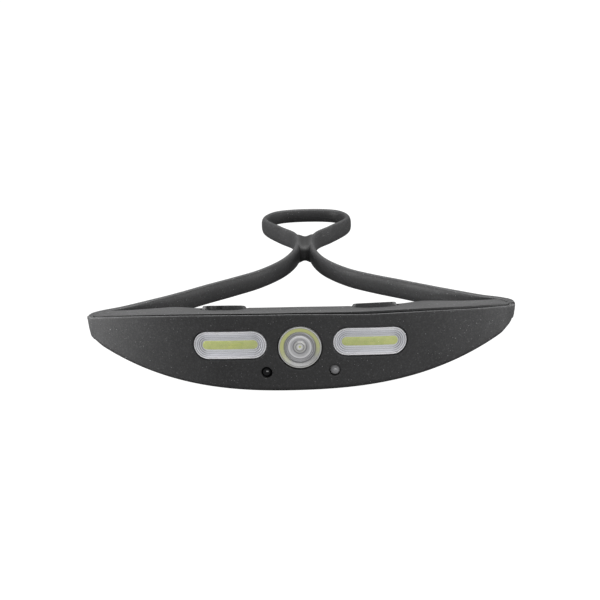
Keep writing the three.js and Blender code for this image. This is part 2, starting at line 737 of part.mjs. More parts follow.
function electronics() {
  add("inner_frame", innerFrame(), blackPlastic);
  add("main_board", mainBoard(), boardGreen);
  SCREW_SITES.forEach((site, i) => add(`board_screw_${i + 1}`, boardScrew(site), steel));
  add("usb_socket", usbSocket(), steel);
  add("battery_cell", batteryCell(), cellWrap);
  add("ir_receiver", sensorLed(), darkLens).position.set(-SENSOR_X, 0, SENSOR_Z);
  add("ir_emitter", sensorLed(), clearPlastic).position.set(SENSOR_X, 0, SENSOR_Z);
  const batteryLeads = [
    ["battery_lead_positive", -3, redWire],
    ["battery_lead_negative", 3, blackWire],
  ];
  for (const [name, x, material] of batteryLeads) {
    const route = [
      [x, CELL_Y, CELL_TOP + 0.2],
      [x, CELL_Y - 0.3, CELL_TOP + 1.1],
      [x, CELL_Y - 1.8, CELL_TOP + 1.3],
      [x, LEAD_Y, CELL_TOP + 0.8],
      [x, LEAD_Y, CELL_TOP - 0.6],
    ];
    add(name, wire(route, 0.35), material);
  }
  for (const [side, sign] of SIDES) {
    const cobRoute = [
      [sign * 12.6, LEAD_Y, 3],
      [sign * 14.4, LEAD_Y + 0.1, 3.1],
      [sign * 16.6, LEAD_Y, 3.2],
      [sign * 18.4, LEAD_Y - 0.2, 3.2],
    ];
    add(`cob_lead_${side}`, wire(cobRoute, 0.3), redWire);
    const switchRoute = [
      [sign * 12.8, LEAD_Y, 4.6],
      [sign * 15.8, LEAD_Y + 0.1, 5.2],
      [sign * 19, LEAD_Y + 0.2, 6.1],
      [sign * 22.6, LEAD_Y + 0.5, 6.5],
    ];
    add(`switch_lead_${side}`, wire(switchRoute, 0.3), blackWire);
  }
}

// ---- Buttons ------------------------------------------------------------------------------------------
const SWITCH_BOARD_Z = 4.6;
const SWITCH_BODY_Z = SWITCH_BOARD_Z + 0.9;
const SWITCH_TOP_Z = SWITCH_BODY_Z + 1.5;
const SWITCH_DEPTH = BUTTON_DEPTH + 1.4; // the switch sits a little behind the pad's middle

// In a button's bay y is up, so a flat board is thin in y.
function switchBoard() {
  return block(8.4, 0.8, 5.4, 0, SWITCH_BOARD_Z + 0.4, -SWITCH_DEPTH);
}

function tactSwitch() {
  const body = solid(block(4.5, 1.5, 4.5, 0, SWITCH_BODY_Z + 0.75, -SWITCH_DEPTH));
  const well = new THREE.CylinderGeometry(1.2, 1.2, 2, 20).translate(0, SWITCH_TOP_Z, -SWITCH_DEPTH);
  return geometryOf(body.subtract(solid(well)));
}

// The actuator stands in the switch's well, free to go down by the button's travel.
function switchPlunger() {
  return new THREE.CylinderGeometry(0.95, 0.95, 1, 16).translate(0, SWITCH_TOP_Z + 0.3, -SWITCH_DEPTH);
}

const BUTTON_WALL = 2.2;

// A pad with sloping sides above the skin, a straight wall through it, and a nib that meets the switch.
function buttonPad(sign, marks) {
  const skin = topZ(BUTTON_X);
  const wallTop = skin - 0.4;
  const wallBottom = skin + 0.1 - BUTTON_WALL;
  const wallMiddle = (wallTop + wallBottom) / 2;
  const wall = solid(block(BUTTON_LENGTH, wallTop - wallBottom, BUTTON_WIDTH, 0, wallMiddle, -BUTTON_DEPTH));
  const foot = [BUTTON_LENGTH / 2, BUTTON_WIDTH / 2];
  const crown = [BUTTON_LENGTH / 2 - 1.25, BUTTON_WIDTH / 2 - 1];
  const level = ([x, z], y, lean) => [
    new THREE.Vector3(x, y + lean * z, z - BUTTON_DEPTH),
    new THREE.Vector3(x, y - lean * z, -z - BUTTON_DEPTH),
    new THREE.Vector3(-x, y - lean * z, -z - BUTTON_DEPTH),
    new THREE.Vector3(-x, y + lean * z, z - BUTTON_DEPTH),
  ];
  const top = level(crown, skin + BUTTON_RISE, BUTTON_LEAN);
  let pad = solid(loft([level(foot, skin - 0.5, 0), top])).add(wall);
  for (const x of marks) {
    const dimple = new THREE.CylinderGeometry(0.7, 0.7, 0.6, 12);
    pad = pad.subtract(solid(dimple.translate(x, skin + BUTTON_RISE, -BUTTON_DEPTH)));
  }
  const tilted = pad.rotate([0, 0, -sign * BUTTON_TILT]);
  const nibTop = skin - 1.5;
  const nibBottom = SWITCH_TOP_Z + 0.9;
  const nib = new THREE.CylinderGeometry(1.2, 1.2, nibTop - nibBottom, 16);
  return geometryOf(tilted.add(solid(nib.translate(0, (nibTop + nibBottom) / 2, -SWITCH_DEPTH))));
}

function buttons() {
  const pads = { left: ["sensor_button", [-4.7, -0.7]], right: ["power_button", []] };
  for (const [side, sign] of SIDES) {
    const seat = buttonBays[side];
    const [name, marks] = pads[side];
    add(name, buttonPad(sign, marks), silicone, seat);
    add(`${name}_actuator`, switchPlunger(), blackPlastic, seat);
    add(`tact_switch_${side}`, tactSwitch(), steel, seat);
    add(`switch_board_${side}`, switchBoard(), boardGreen, seat);
  }
}

// ---- Charging flap ------------------------------------------------------------------------------------
const PLUG_HALF_LENGTH = 3.7;
const PLUG_HALF_WIDTH = 1.0;
const PLUG_HEIGHT = 1.7;

// The flap's left edge is round, about the line that it bends on.
function usbFlap() {
  const round = FLAP_THICKNESS / 2;
  const outline = new THREE.Shape();
  outline.moveTo(FLAP_HALF_LENGTH, -round);
  outline.lineTo(FLAP_HALF_LENGTH, round);
  outline.absarc(round - FLAP_HALF_LENGTH, 0, round, Math.PI / 2, (3 * Math.PI) / 2, false);
  const bar = plate(outline, -FLAP_WIDTH / 2, FLAP_WIDTH / 2).rotateX(Math.PI / 2);
  const slab = solid(bar.translate(0, FLAP_Y, FLAP_Z + round));
  const plug = plate(stadium(PLUG_HALF_LENGTH, PLUG_HALF_WIDTH), -0.1, PLUG_HEIGHT);
  plug.translate(0, FLAP_Y, FLAP_Z + FLAP_THICKNESS);
  const nail = block(1, 4, 1, FLAP_HALF_LENGTH, FLAP_Y, FLAP_Z);
  return geometryOf(slab.add(solid(plug)).subtract(solid(nail)));
}

add("front_cover", frontCover(), silicone);
add("body_shell", bodyShell(), silicone);
add("forehead_pad", foreheadPad(), silicone);
strap();
floodlights();
spotlight();
electronics();
buttons();
add("usb_flap", usbFlap(), silicone);

export default lamp;
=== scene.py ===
"""A one-piece silicone headlamp: its looks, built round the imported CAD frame.

Shapes are worked out in millimetres in the frame's own axes, and scaled to metres as each mesh is made:
the beams point along -Y, the head is on the +Y side, and +Z is up.
"""
import json
import math
from contextlib import contextmanager

import bmesh
import bpy
import numpy as np
from mathutils import Matrix, Vector, noise
from mathutils.geometry import delaunay_2d_cdt


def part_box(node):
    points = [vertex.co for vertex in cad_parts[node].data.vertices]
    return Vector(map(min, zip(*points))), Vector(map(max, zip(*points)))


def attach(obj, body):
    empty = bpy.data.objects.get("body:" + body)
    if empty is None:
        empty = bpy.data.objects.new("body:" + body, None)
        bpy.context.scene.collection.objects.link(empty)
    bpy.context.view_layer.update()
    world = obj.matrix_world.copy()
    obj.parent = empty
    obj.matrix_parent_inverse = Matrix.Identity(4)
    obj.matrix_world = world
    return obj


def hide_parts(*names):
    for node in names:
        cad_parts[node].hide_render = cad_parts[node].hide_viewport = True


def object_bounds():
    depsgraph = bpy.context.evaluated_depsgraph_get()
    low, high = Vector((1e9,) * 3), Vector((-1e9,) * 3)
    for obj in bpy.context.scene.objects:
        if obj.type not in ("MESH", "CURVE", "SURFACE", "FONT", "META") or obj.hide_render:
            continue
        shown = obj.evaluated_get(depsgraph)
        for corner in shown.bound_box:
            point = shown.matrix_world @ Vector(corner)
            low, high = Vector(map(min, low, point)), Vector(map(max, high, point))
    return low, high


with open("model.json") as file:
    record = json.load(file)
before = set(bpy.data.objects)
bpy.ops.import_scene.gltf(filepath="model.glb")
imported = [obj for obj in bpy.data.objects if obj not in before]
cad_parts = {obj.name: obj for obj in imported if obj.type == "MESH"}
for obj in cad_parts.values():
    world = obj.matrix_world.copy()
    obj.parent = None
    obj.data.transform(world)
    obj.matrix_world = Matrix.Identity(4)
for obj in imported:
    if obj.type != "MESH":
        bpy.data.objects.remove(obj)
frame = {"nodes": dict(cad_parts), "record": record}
cad_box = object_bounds()
MM = 0.001


def box_mm(node):
    """A CAD node's lowest and highest corners, in millimetres."""
    low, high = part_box(node)
    return low / MM, high / MM


# ---- Driving dimensions, in millimetres and degrees ----
FRONT_Y = box_mm("front_cover")[0].y
FRONT_RADIUS = 121.0  # the front face's bend round the forehead
BEND_Y = FRONT_Y + FRONT_RADIUS
FACE_ANGLE = 39.3  # that the face spans on each side of the middle
END_RADIUS = 6.5  # the tighter bend at the body's ends
END_TURN = 40.0
BODY_DEPTH = 19.0
END_DEPTH = 8.0
WING_START_X = 36.0  # the body gets thinner from here to its ends
COVER_DEPTH = 2.0
TOP_Z = 11.7
TOP_FALL = 6.7  # how far the top edge falls by OUTLINE_X
TOP_POWER = 2.6
BOTTOM_Z = -16.8
BOTTOM_RISE = 12.0  # how far the bottom edge rises by OUTLINE_X
BOTTOM_POWER = 2.85
OUTLINE_X = 75.3
END_TOP = 4.7  # of the front cover's tip
END_BOTTOM = -3.0
END_DROP = 1.5  # the left tip reaches lower than the right one
END_TAPER = 1.1  # the ends lean inwards this much towards their lower edge
TOP_SAG = 1.3  # the top edge's right half hangs this much below its left half
SHELL_SAG = 0.4  # the shell's top makes up for this share of it
TIP_ROUND = 2.0  # the rounding of the top edge's two corners
WING_RISE = 1.3  # the top of the wings climbs this much towards the back
SHELL_STEP = 0.12  # the shell's top stands above the cover's top edge

STRAP_THICKNESS = 2.9
ARM_HEIGHT = 7.7
ROOT_HEIGHT = 6.2  # where the ribbon leaves the body
ROOT_Z = 0.9
NECK_HEIGHT = 7.4
LOOP_HEIGHT = 5.6

COB_X = 25.3
COB_HALF_LENGTH = 13.45
COB_RADIUS = 5.05
COB_TILT = {-1: 2.8, 1: 4.2}  # the outer ends of the two floodlights droop
COB_Z = {-1: 0.0, 1: -0.15}
LIGHT_HALF_LENGTH = 10.3
LIGHT_RADIUS = 1.65
SPOT_Z = -0.8
SPOT_RADIUS = 7.75
SENSOR_X = 12.2
SENSOR_Z = -9.8
SENSOR_RADIUS = 1.82
APERTURE_GAP = 0.34  # between a light and the cover's opening
SENSOR_GAP = 0.15

BUTTON_X = 27.0
BUTTON_DEPTH = 10.0  # the middle of a button, behind the front face
BUTTON_HALF_LENGTH = 8.8
BUTTON_HALF_WIDTH = 3.7
BUTTON_GAP = 0.12  # between a button and its well
WELL_SPAN = (-6.0, 4.0)  # the well's floor and the top of its cutter, from the body's top edge
BUTTON_BASE = -2.0  # its underside, from the body's top edge
BUTTON_LEAN = 0.36  # its top falls this much per millimetre towards the back
SIDES = (("left", -1), ("right", 1))


# ---- Small helpers ----
def lerp(a, b, t):
    """The value a share t of the way from a to b."""
    return a + (b - a) * t


def smoothstep(x, low, high):
    """0 up to low, 1 from high on, and a smooth rise between."""
    t = min(max((x - low) / (high - low), 0.0), 1.0)
    return t * t * (3 - 2 * t)


@contextmanager
def editing(mesh):
    """A mesh's editable copy, which is written back at the end."""
    work = bmesh.new()
    work.from_mesh(mesh)
    yield work
    work.to_mesh(mesh)
    work.free()


def add_object(name, data):
    obj = bpy.data.objects.new(name, data)
    bpy.context.scene.collection.objects.link(obj)
    return obj


def new_object(name, points, faces, material, matrix=None):
    """A smooth-shaded mesh object from points in millimetres."""
    mesh = bpy.data.meshes.new(name)
    mesh.from_pydata([tuple(p) for p in points], [], faces)
    mesh.transform((Matrix.Scale(MM, 4) @ matrix) if matrix else Matrix.Scale(MM, 4))
    with editing(mesh) as work:
        bmesh.ops.recalc_face_normals(work, faces=work.faces)
    mesh.materials.append(material)
    obj = add_object(name, mesh)
    shade(obj)
    return obj


def shade(obj, degrees=35.0):
    """Smooth shading, with hard edges where the surface turns by more than the given angle."""
    limit = math.radians(degrees)
    with editing(obj.data) as work:
        for face in work.faces:
            face.smooth = True
        for edge in work.edges:
            edge.smooth = len(edge.link_faces) == 2 and edge.calc_face_angle(0.0) < limit


def apply_modifiers(obj):
    """Makes an object's modifiers part of its mesh."""
    bpy.context.view_layer.update()
    graph = bpy.context.evaluated_depsgraph_get()
    mesh = bpy.data.meshes.new_from_object(obj.evaluated_get(graph))
    old = obj.data
    obj.modifiers.clear()
    obj.data = mesh
    bpy.data.meshes.remove(old)


def cut(obj, cutters, operation="DIFFERENCE"):
    """Cuts each cutter out of an object, or joins it with UNION, and deletes the cutter."""
    for cutter in cutters:
        modifier = obj.modifiers.new("cut", "BOOLEAN")
        modifier.operation = operation
        modifier.solver = "EXACT"
        modifier.object = cutter
        apply_modifiers(obj)
        bpy.data.objects.remove(cutter)


def loft(rings):
    """Points and faces of a closed skin through rings with the same number of points."""
    count = len(rings[0])
    points = [p for ring in rings for p in ring]
    faces = []
    for r in range(len(rings) - 1):
        a0, b0 = r * count, (r + 1) * count
        for i in range(count):
            j = (i + 1) % count
            faces.append((a0 + i, a0 + j, b0 + j, b0 + i))
    faces.append(tuple(range(count))[::-1])
    faces.append(tuple(range((len(rings) - 1) * count, len(rings) * count)))
    return points, faces


def block(name, size, centre):
    """A plain box."""
    x, y, z = (c / 2 for c in size)
    corners = ((1, 1), (-1, 1), (-1, -1), (1, -1))
    rings = [[Vector((a * x, b * y, c)) + Vector(centre) for a, b in corners] for c in (-z, z)]
    return new_object(name, *loft(rings), SILICONE)


def stadium(half_length, radius, z=0.0, arc_steps=14, run_steps=8):
    """A stadium-shaped ring of points in the XY plane."""
    run = half_length - radius
    ring = []
    for side, start in ((1, -90.0), (-1, 90.0)):
        for i in range(arc_steps + 1):
            a = math.radians(start + 180.0 * i / arc_steps)
            ring.append(Vector((side * run + radius * math.cos(a), radius * math.sin(a), z)))
        for i in range(1, run_steps):
            ring.append(Vector((side * lerp(run, -run, i / run_steps), side * radius, z)))
    return ring


def oblong(half_x, half_y, power, steps):
    """Points round an oval, which gets squarer as the power rises."""
    points = []
    for i in range(steps):
        a = 2 * math.pi * i / steps
        c, s = math.cos(a), math.sin(a)
        x = half_x * math.copysign(abs(c) ** (2 / power), c)
        y = half_y * math.copysign(abs(s) ** (2 / power), s)
        points.append((x, y))
    return points


def circle(radius, z, steps):
    turns = [2 * math.pi * i / steps for i in range(steps)]
    return [Vector((radius * math.cos(a), radius * math.sin(a), z)) for a in turns]


def bay(x, z):
    """The place on the front face above x: x to the side, y up, z out along the beam, 0 on the face."""
    turn = math.asin(x / FRONT_RADIUS)
    bend = Matrix.Translation((0, BEND_Y, 0)) @ Matrix.Rotation(turn, 4, "Z")
    return bend @ Matrix.Translation((0, -FRONT_RADIUS, z)) @ Matrix.Rotation(math.radians(90), 4, "X")


# ---- The body's surface ----
FACE_REACH = FRONT_RADIUS * math.radians(FACE_ANGLE)  # half the face's length, along its bend
END_REACH = END_RADIUS * math.radians(END_TURN)
TIP_REACH = FACE_REACH + END_REACH


def plan(s):
    """The outer surface at s millimetres along the bend from the middle: its point and outward direction."""
    side = 1 if s >= 0 else -1
    along = abs(s)
    angle = min(along / FRONT_RADIUS, math.radians(FACE_ANGLE))
    direction = Vector((side * math.sin(angle), -math.cos(angle)))
    if along <= FACE_REACH:
        return direction * FRONT_RADIUS + Vector((0, BEND_Y)), direction
    hub = direction * (FRONT_RADIUS - END_RADIUS) + Vector((0, BEND_Y))
    angle += (along - FACE_REACH) / END_RADIUS
    direction = Vector((side * math.sin(angle), -math.cos(angle)))
    return hub + direction * END_RADIUS, direction


def end_share(s):
    """0 on the face, rising to 1 at the body's tips."""
    return max(abs(s) - FACE_REACH, 0.0) / END_REACH


def sag(s):
    """How far the top edge's right half hangs below its left half."""
    return TOP_SAG * smoothstep(s, -4, 30) * (1 - 0.45 * smoothstep(s, 62, TIP_REACH))


def tip_round(s):
    """How far the top edge's corners round off at the two tips."""
    near = min(max(TIP_REACH - abs(s), 0.0), TIP_ROUND)
    return TIP_ROUND - math.sqrt(TIP_ROUND**2 - (TIP_ROUND - near) ** 2)


def top_z(s):
    """The height of the front cover's top edge."""
    share = min(abs(plan(s)[0].x), OUTLINE_X * 1.02) / OUTLINE_X
    top = TOP_Z - TOP_FALL * share**TOP_POWER
    return lerp(top, END_TOP, smoothstep(end_share(s), 0, 1)) - sag(s) - 0.7 * tip_round(s)


def bottom_z(s):
    """The height of the body's bottom edge."""
    share = min(abs(plan(s)[0].x), OUTLINE_X * 1.02) / OUTLINE_X
    bottom = BOTTOM_Z + BOTTOM_RISE * share**BOTTOM_POWER
    rise = 1 - math.sqrt(max(1 - end_share(s) ** 2, 0.0))
    return lerp(bottom, END_BOTTOM - END_DROP * (s < 0), rise)


def depth_at(s):
    """How thick the body is from front to back."""
    depth = lerp(BODY_DEPTH, END_DEPTH, smoothstep(abs(plan(s)[0].x), WING_START_X, OUTLINE_X))
    return lerp(depth, STRAP_THICKNESS + 0.3, smoothstep(end_share(s), 0, 1))


def end_taper(s, z):
    """How far the surface leans in at the ends, below their top edge."""
    drop = max(END_TOP - z, 0.0) / (END_TOP - END_BOTTOM)
    lean = END_TAPER * (1.6 if s > 0 else 0.9)
    return lean * smoothstep(abs(s), FACE_REACH - 5, TIP_REACH) * min(drop, 1.3) ** 1.8


def on_body(s, depth, z):
    """The point at a depth behind the outer surface and at a height z."""
    point, direction = plan(s)
    flat = point - direction * (depth + end_taper(s, z))
    return Vector((flat.x, flat.y, z))


# ---- Materials ----
def material(name, **values):
    """A material with the given values on its Principled shader. Returns it, its node tree and the shader."""
    mat = bpy.data.materials.new(name)
    mat.use_nodes = True
    tree = mat.node_tree
    bsdf = tree.nodes["Principled BSDF"]
    for socket, value in values.items():
        bsdf.inputs[socket.replace("_", " ").title().replace("Ior", "IOR")].default_value = value
    return mat, tree, bsdf


def add_node(tree, kind, inputs=None, **settings):
    """A node whose inputs are linked to sockets or set to plain values."""
    node = tree.nodes.new(kind)
    for key, value in settings.items():
        setattr(node, key, value)
    for key, value in (inputs or {}).items():
        if isinstance(value, bpy.types.NodeSocket):
            tree.links.new(value, node.inputs[key])
        else:
            node.inputs[key].default_value = value
    return node


def object_coordinates(tree):
    return add_node(tree, "ShaderNodeTexCoord").outputs["Object"]


def noise_value(tree, vector, scale, detail=3.0, roughness=0.6):
    inputs = {"Vector": vector, "Scale": scale, "Detail": detail, "Roughness": roughness}
    return add_node(tree, "ShaderNodeTexNoise", inputs).outputs["Fac"]


def ramp(tree, value, stops):
    """A colour ramp through (position, colour) stops."""
    node = add_node(tree, "ShaderNodeValToRGB", {"Fac": value})
    elements = node.color_ramp.elements
    while len(elements) < len(stops):
        elements.new(1.0)
    for element, (position, colour) in zip(elements, stops):
        element.position = position
        element.color = (*colour, 1.0)
    return node.outputs["Color"]


def mix(tree, share, a, b):
    """A share of the way from colour a to colour b."""
    node = tree.nodes.new("ShaderNodeMix")
    node.data_type = "RGBA"
    for socket, value in ((node.inputs["Factor"], share), (node.inputs[6], a), (node.inputs[7], b)):
        if isinstance(value, bpy.types.NodeSocket):
            tree.links.new(value, socket)
        else:
            socket.default_value = (*value, 1.0) if isinstance(value, tuple) else value
    return node.outputs[2]


def maths(tree, operation, a, b):
    return add_node(tree, "ShaderNodeMath", {0: a, 1: b}, operation=operation).outputs[0]


def attribute(tree, name):
    return add_node(tree, "ShaderNodeAttribute", attribute_name=name).outputs["Fac"]


def bump(tree, bsdf, height, distance, strength):
    node = add_node(tree, "ShaderNodeBump", {"Height": height, "Distance": distance, "Strength": strength})
    tree.links.new(node.outputs["Normal"], bsdf.inputs["Normal"])


def grey(value):
    """A grey that is very slightly blue."""
    return (value, value, value * 1.03)


DUST = (  # cells per metre, the speck's share of a cell, its strength, and the share of cells left clean
    (260.0, 0.045, 0.5, 0.84),
    (640.0, 0.085, 0.5, 0.82),
    (1000.0, 0.11, 0.45, 0.82),
    (1500.0, 0.15, 0.35, 0.86),
)


def silicone_material():
    """Moulded dark grey silicone: fine grain, faint clouding, light specks of dust, and painted shade on the
    strap, darkest in the neck's middle crease.
    """
    mat, tree, bsdf = material("silicone", specular_ior_level=0.42)
    coords = object_coordinates(tree)
    clouds = noise_value(tree, coords, 60.0, 4.0)
    base = ramp(tree, clouds, [(0.3, grey(0.016)), (0.7, grey(0.025))])
    grain = noise_value(tree, coords, 5200.0, 2.0)
    base = mix(tree, ramp(tree, grain, [(0.4, grey(0.0)), (0.75, grey(0.35))]), base, grey(0.09))
    mottle = noise_value(tree, coords, 1500.0, 2.0)
    base = mix(tree, ramp(tree, mottle, [(0.48, grey(0.0)), (0.75, grey(0.65))]), base, grey(0.062))
    for scale, size, level, rarity in DUST:
        cells = add_node(tree, "ShaderNodeTexVoronoi", {"Vector": coords, "Scale": scale})
        dot = maths(tree, "LESS_THAN", cells.outputs["Distance"], size)
        lot = add_node(tree, "ShaderNodeSeparateColor", {0: cells.outputs["Color"]}).outputs[0]
        speck = maths(tree, "MULTIPLY", dot, maths(tree, "GREATER_THAN", lot, rarity))
        base = mix(tree, maths(tree, "MULTIPLY", speck, level), base, grey(0.5))
    crumbs = ramp(tree, noise_value(tree, coords, 1700.0, 3.0), [(0.42, grey(0.0)), (0.60, grey(1.0))])
    base = mix(tree, maths(tree, "MULTIPLY", attribute(tree, "flash"), crumbs), base, grey(0.06))
    # painted shade: near black where the strap's attribute marks it, a little away from the body and most in
    # the neck's middle crease
    base = mix(tree, attribute(tree, "painted_shade"), base, grey(0.004))
    tree.links.new(base, bsdf.inputs["Base Color"])
    tree.links.new(ramp(tree, clouds, [(0.3, grey(0.52)), (0.7, grey(0.62))]), bsdf.inputs["Roughness"])
    bump(tree, bsdf, grain, 0.00003, 0.5)
    return mat


def clear_material(name, haze, alpha, rough):
    """Clear moulded polycarbonate, as a thin haze over what is behind it."""
    mat, tree, bsdf = material(name, roughness=rough, alpha=alpha, specular_ior_level=0.7)
    waves = noise_value(tree, object_coordinates(tree), 240.0, 2.0)
    base = ramp(tree, waves, [(0.3, haze), (0.7, tuple(c * 0.93 for c in haze))])
    tree.links.new(base, bsdf.inputs["Base Color"])
    bump(tree, bsdf, waves, 0.00006, 0.25)
    return mat


def reflector_material():
    """Bright satin plastic, with painted shade where the tub is deep and dark painted shade along the steps
    of its moulded lines.
    """
    mat, tree, bsdf = material("reflector", roughness=0.32)
    clouds = noise_value(tree, object_coordinates(tree), 500.0, 3.0)
    base = ramp(tree, clouds, [(0.3, (0.90, 0.90, 0.93)), (0.7, (0.95, 0.95, 0.97))])
    # painted shade: darker deep in the tub, and dark lines along its steps
    base = mix(tree, attribute(tree, "painted_deep_shade"), base, (0.76, 0.77, 0.82))
    base = mix(tree, maths(tree, "MULTIPLY", attribute(tree, "line"), 0.95), base, grey(0.12))
    tree.links.new(base, bsdf.inputs["Base Color"])
    bump(tree, bsdf, clouds, 0.00005, 0.3)
    return mat


def phosphor_material():
    """Yellow-green phosphor in silicone, a little uneven."""
    mat, tree, bsdf = material("phosphor", roughness=0.42)
    coords = object_coordinates(tree)
    clouds = noise_value(tree, coords, 700.0, 4.0)
    base = ramp(tree, clouds, [(0.3, (0.54, 0.62, 0.14)), (0.7, (0.67, 0.71, 0.21))])
    tree.links.new(base, bsdf.inputs["Base Color"])
    bump(tree, bsdf, noise_value(tree, coords, 2500.0, 2.0), 0.00004, 0.4)
    return mat


def plastic_material(name, colour, rough, grain_scale=3000.0, metallic=0.0):
    """Moulded or plated material with a fine grain."""
    mat, tree, bsdf = material(name, metallic=metallic)
    coords = object_coordinates(tree)
    clouds = noise_value(tree, coords, 220.0, 3.0)
    dark = tuple(c * 0.85 for c in colour)
    tree.links.new(ramp(tree, clouds, [(0.3, dark), (0.7, colour)]), bsdf.inputs["Base Color"])
    shine = ramp(tree, clouds, [(0.3, grey(rough * 0.9)), (0.7, grey(rough))])
    tree.links.new(shine, bsdf.inputs["Roughness"])
    bump(tree, bsdf, noise_value(tree, coords, grain_scale, 2.0), 0.00003, 0.35)
    return mat


def painted_lens_material():
    """What the spotlight's lens shows of its cup, painted on: a yellow-green crescent round grey and white
    rings, all painted reflections and highlights.
    """
    mat, tree, bsdf = material("lens_painted_reflection", roughness=0.22, specular_ior_level=0.6)
    polar = add_node(tree, "ShaderNodeUVMap", uv_map="polar").outputs["UV"]
    split = add_node(tree, "ShaderNodeSeparateXYZ", {0: polar})
    radius, turn = split.outputs["X"], split.outputs["Y"]
    rings = ramp(tree, radius, LENS_RINGS)
    crescent = ramp(tree, turn, [(at, grey(value)) for at, value in CRESCENT_TURN])
    band = ramp(tree, radius, [(at, grey(value)) for at, value in CRESCENT_BAND])
    share = maths(tree, "MULTIPLY", crescent, band)
    tree.links.new(mix(tree, share, rings, (0.68, 0.71, 0.30)), bsdf.inputs["Base Color"])
    return mat


# The crescent is a painted reflection of the yellow-green light: its strength round the lens, and across its
# radius.
CRESCENT_TURN = ((0.0, 0.75), (0.22, 1.0), (0.5, 0.95), (0.68, 0.0), (0.9, 0.0), (1.0, 0.75))
CRESCENT_BAND = ((0.72, 0.0), (0.77, 1.0), (0.91, 1.0), (0.94, 0.0))
LENS_RINGS = [  # share of the radius, and colour: painted reflections and painted highlights, round the yellow light in the middle
    (0.00, (0.63, 0.68, 0.10)),
    (0.05, (0.76, 0.77, 0.49)),
    (0.09, (0.98, 0.98, 0.98)),
    (0.15, (0.73, 0.73, 0.73)),
    (0.19, (0.25, 0.25, 0.25)),
    (0.23, (0.71, 0.71, 0.68)),
    (0.27, (0.56, 0.56, 0.56)),
    (0.31, (0.23, 0.23, 0.24)),
    (0.36, (0.63, 0.63, 0.65)),
    (0.42, (0.54, 0.54, 0.55)),
    (0.47, (0.81, 0.81, 0.82)),
    (0.53, (0.90, 0.90, 0.92)),
    (0.56, (0.28, 0.28, 0.29)),
    (0.60, (0.61, 0.61, 0.63)),
    (0.635, (0.23, 0.23, 0.24)),
    (0.68, (0.49, 0.49, 0.51)),
    (0.72, (0.21, 0.21, 0.22)),
    (0.76, (0.44, 0.44, 0.44)),
    (0.90, (0.51, 0.51, 0.50)),
    (0.935, (0.28, 0.28, 0.28)),
    (0.955, (0.76, 0.76, 0.73)),
    (1.00, (0.85, 0.85, 0.84)),
]

SILICONE = silicone_material()
REFLECTOR = reflector_material()
PHOSPHOR = phosphor_material()
WINDOW = clear_material("window_clear", (0.86, 0.86, 0.90), 0.08, 0.06)
LENS = clear_material("lens_clear", (0.80, 0.80, 0.82), 0.22, 0.06)
EMITTER = clear_material("emitter_clear", (0.33, 0.33, 0.34), 0.85, 0.15)
RECEIVER = plastic_material("receiver_dark", (0.006, 0.006, 0.007), 0.10, 400.0)
LENS_PAINTED_REFLECTION = painted_lens_material()


# ---- Front cover ----
def opening(x, z, half_length, radius, gap, tilt=0.0):
    """An opening in the cover: its centre along the bend and up, its size with the gap, and its tilt."""
    return FRONT_RADIUS * math.asin(x / FRONT_RADIUS), z, half_length + gap, radius + gap, math.radians(tilt)


OPENINGS = [
    opening(side * COB_X, COB_Z[side], COB_HALF_LENGTH, COB_RADIUS, APERTURE_GAP, -side * COB_TILT[side])
    for _, side in SIDES
]
OPENINGS.append(opening(0.0, SPOT_Z, SPOT_RADIUS, SPOT_RADIUS, APERTURE_GAP))
for _, side in SIDES:
    OPENINGS.append(opening(side * SENSOR_X, SENSOR_Z, SENSOR_RADIUS, SENSOR_RADIUS, SENSOR_GAP))


def opening_distance(s, z, centre_s, centre_z, half_length, radius, tilt):
    """How far a point is outside an opening's edge, or less than 0 inside it."""
    s, z = s - centre_s, z - centre_z
    along = s * math.cos(tilt) + z * math.sin(tilt)
    across = z * math.cos(tilt) - s * math.sin(tilt)
    return math.hypot(max(abs(along) - (half_length - radius), 0.0), across) - radius


def aperture_distance(s, z):
    """How far a point is outside the nearest opening."""
    return min(opening_distance(s, z, *values) for values in OPENINGS)


def opening_ring(values, grow):
    """A ring of points round an opening, at a distance out from its edge."""
    centre_s, centre_z, half_length, radius, tilt = values
    if half_length == radius:
        ring = circle(radius + grow, 0, 72 if radius > 3 else 32)
    else:
        ring = stadium(half_length + grow, radius + grow, 0, 18, 10)
    turn = Matrix.Rotation(tilt, 3, "Z")
    return [((turn @ p).x + centre_s, (turn @ p).y + centre_z) for p in ring]


LIP = 0.3  # the rounding of the cover round its openings
EDGE = 1.1  # the rounding of its lower edge
FLASH = 0.3  # the rounding of its sharp upper edge
FLASH_WIDTH = 0.3  # the rough line along that edge
CRUMB = 0.16  # how far the line's crumbs stand up
NICK = -0.1  # how deep its nicks are at most
FIELD_PITCH = 1.1  # between the points of the cover's flat layout, away from its edges
COVER_TOP = ((0.45, 0.0), (0.7, 0.2), (1.0, 1.2), (2.0, 1.2))  # depth, and fall below the crest


def round_off(distance, radius):
    """How far back a rounded edge is, at a distance in from it."""
    inside = min(max(distance, 0.0), radius)
    return radius - math.sqrt(radius**2 - (radius - inside) ** 2)


def cover_depth(s, z):
    """How far the cover's face is rounded back at a point."""
    lower = round_off(z - bottom_z(s), EDGE)
    upper = round_off(top_z(s) - z, FLASH)
    tip = round_off(TIP_REACH - abs(s), FLASH)
    return lower + upper + tip + round_off(aperture_distance(s, z), LIP)


def cover_outline():
    """The cover's edge as (s, z): along the top to the right, and back along the bottom."""
    steps = 400
    span = [lerp(-TIP_REACH, TIP_REACH, i / steps) for i in range(steps + 1)]
    top = [(s, top_z(s)) for s in span]
    bottom = [(s, bottom_z(s)) for s in span[::-2]]
    return top, bottom


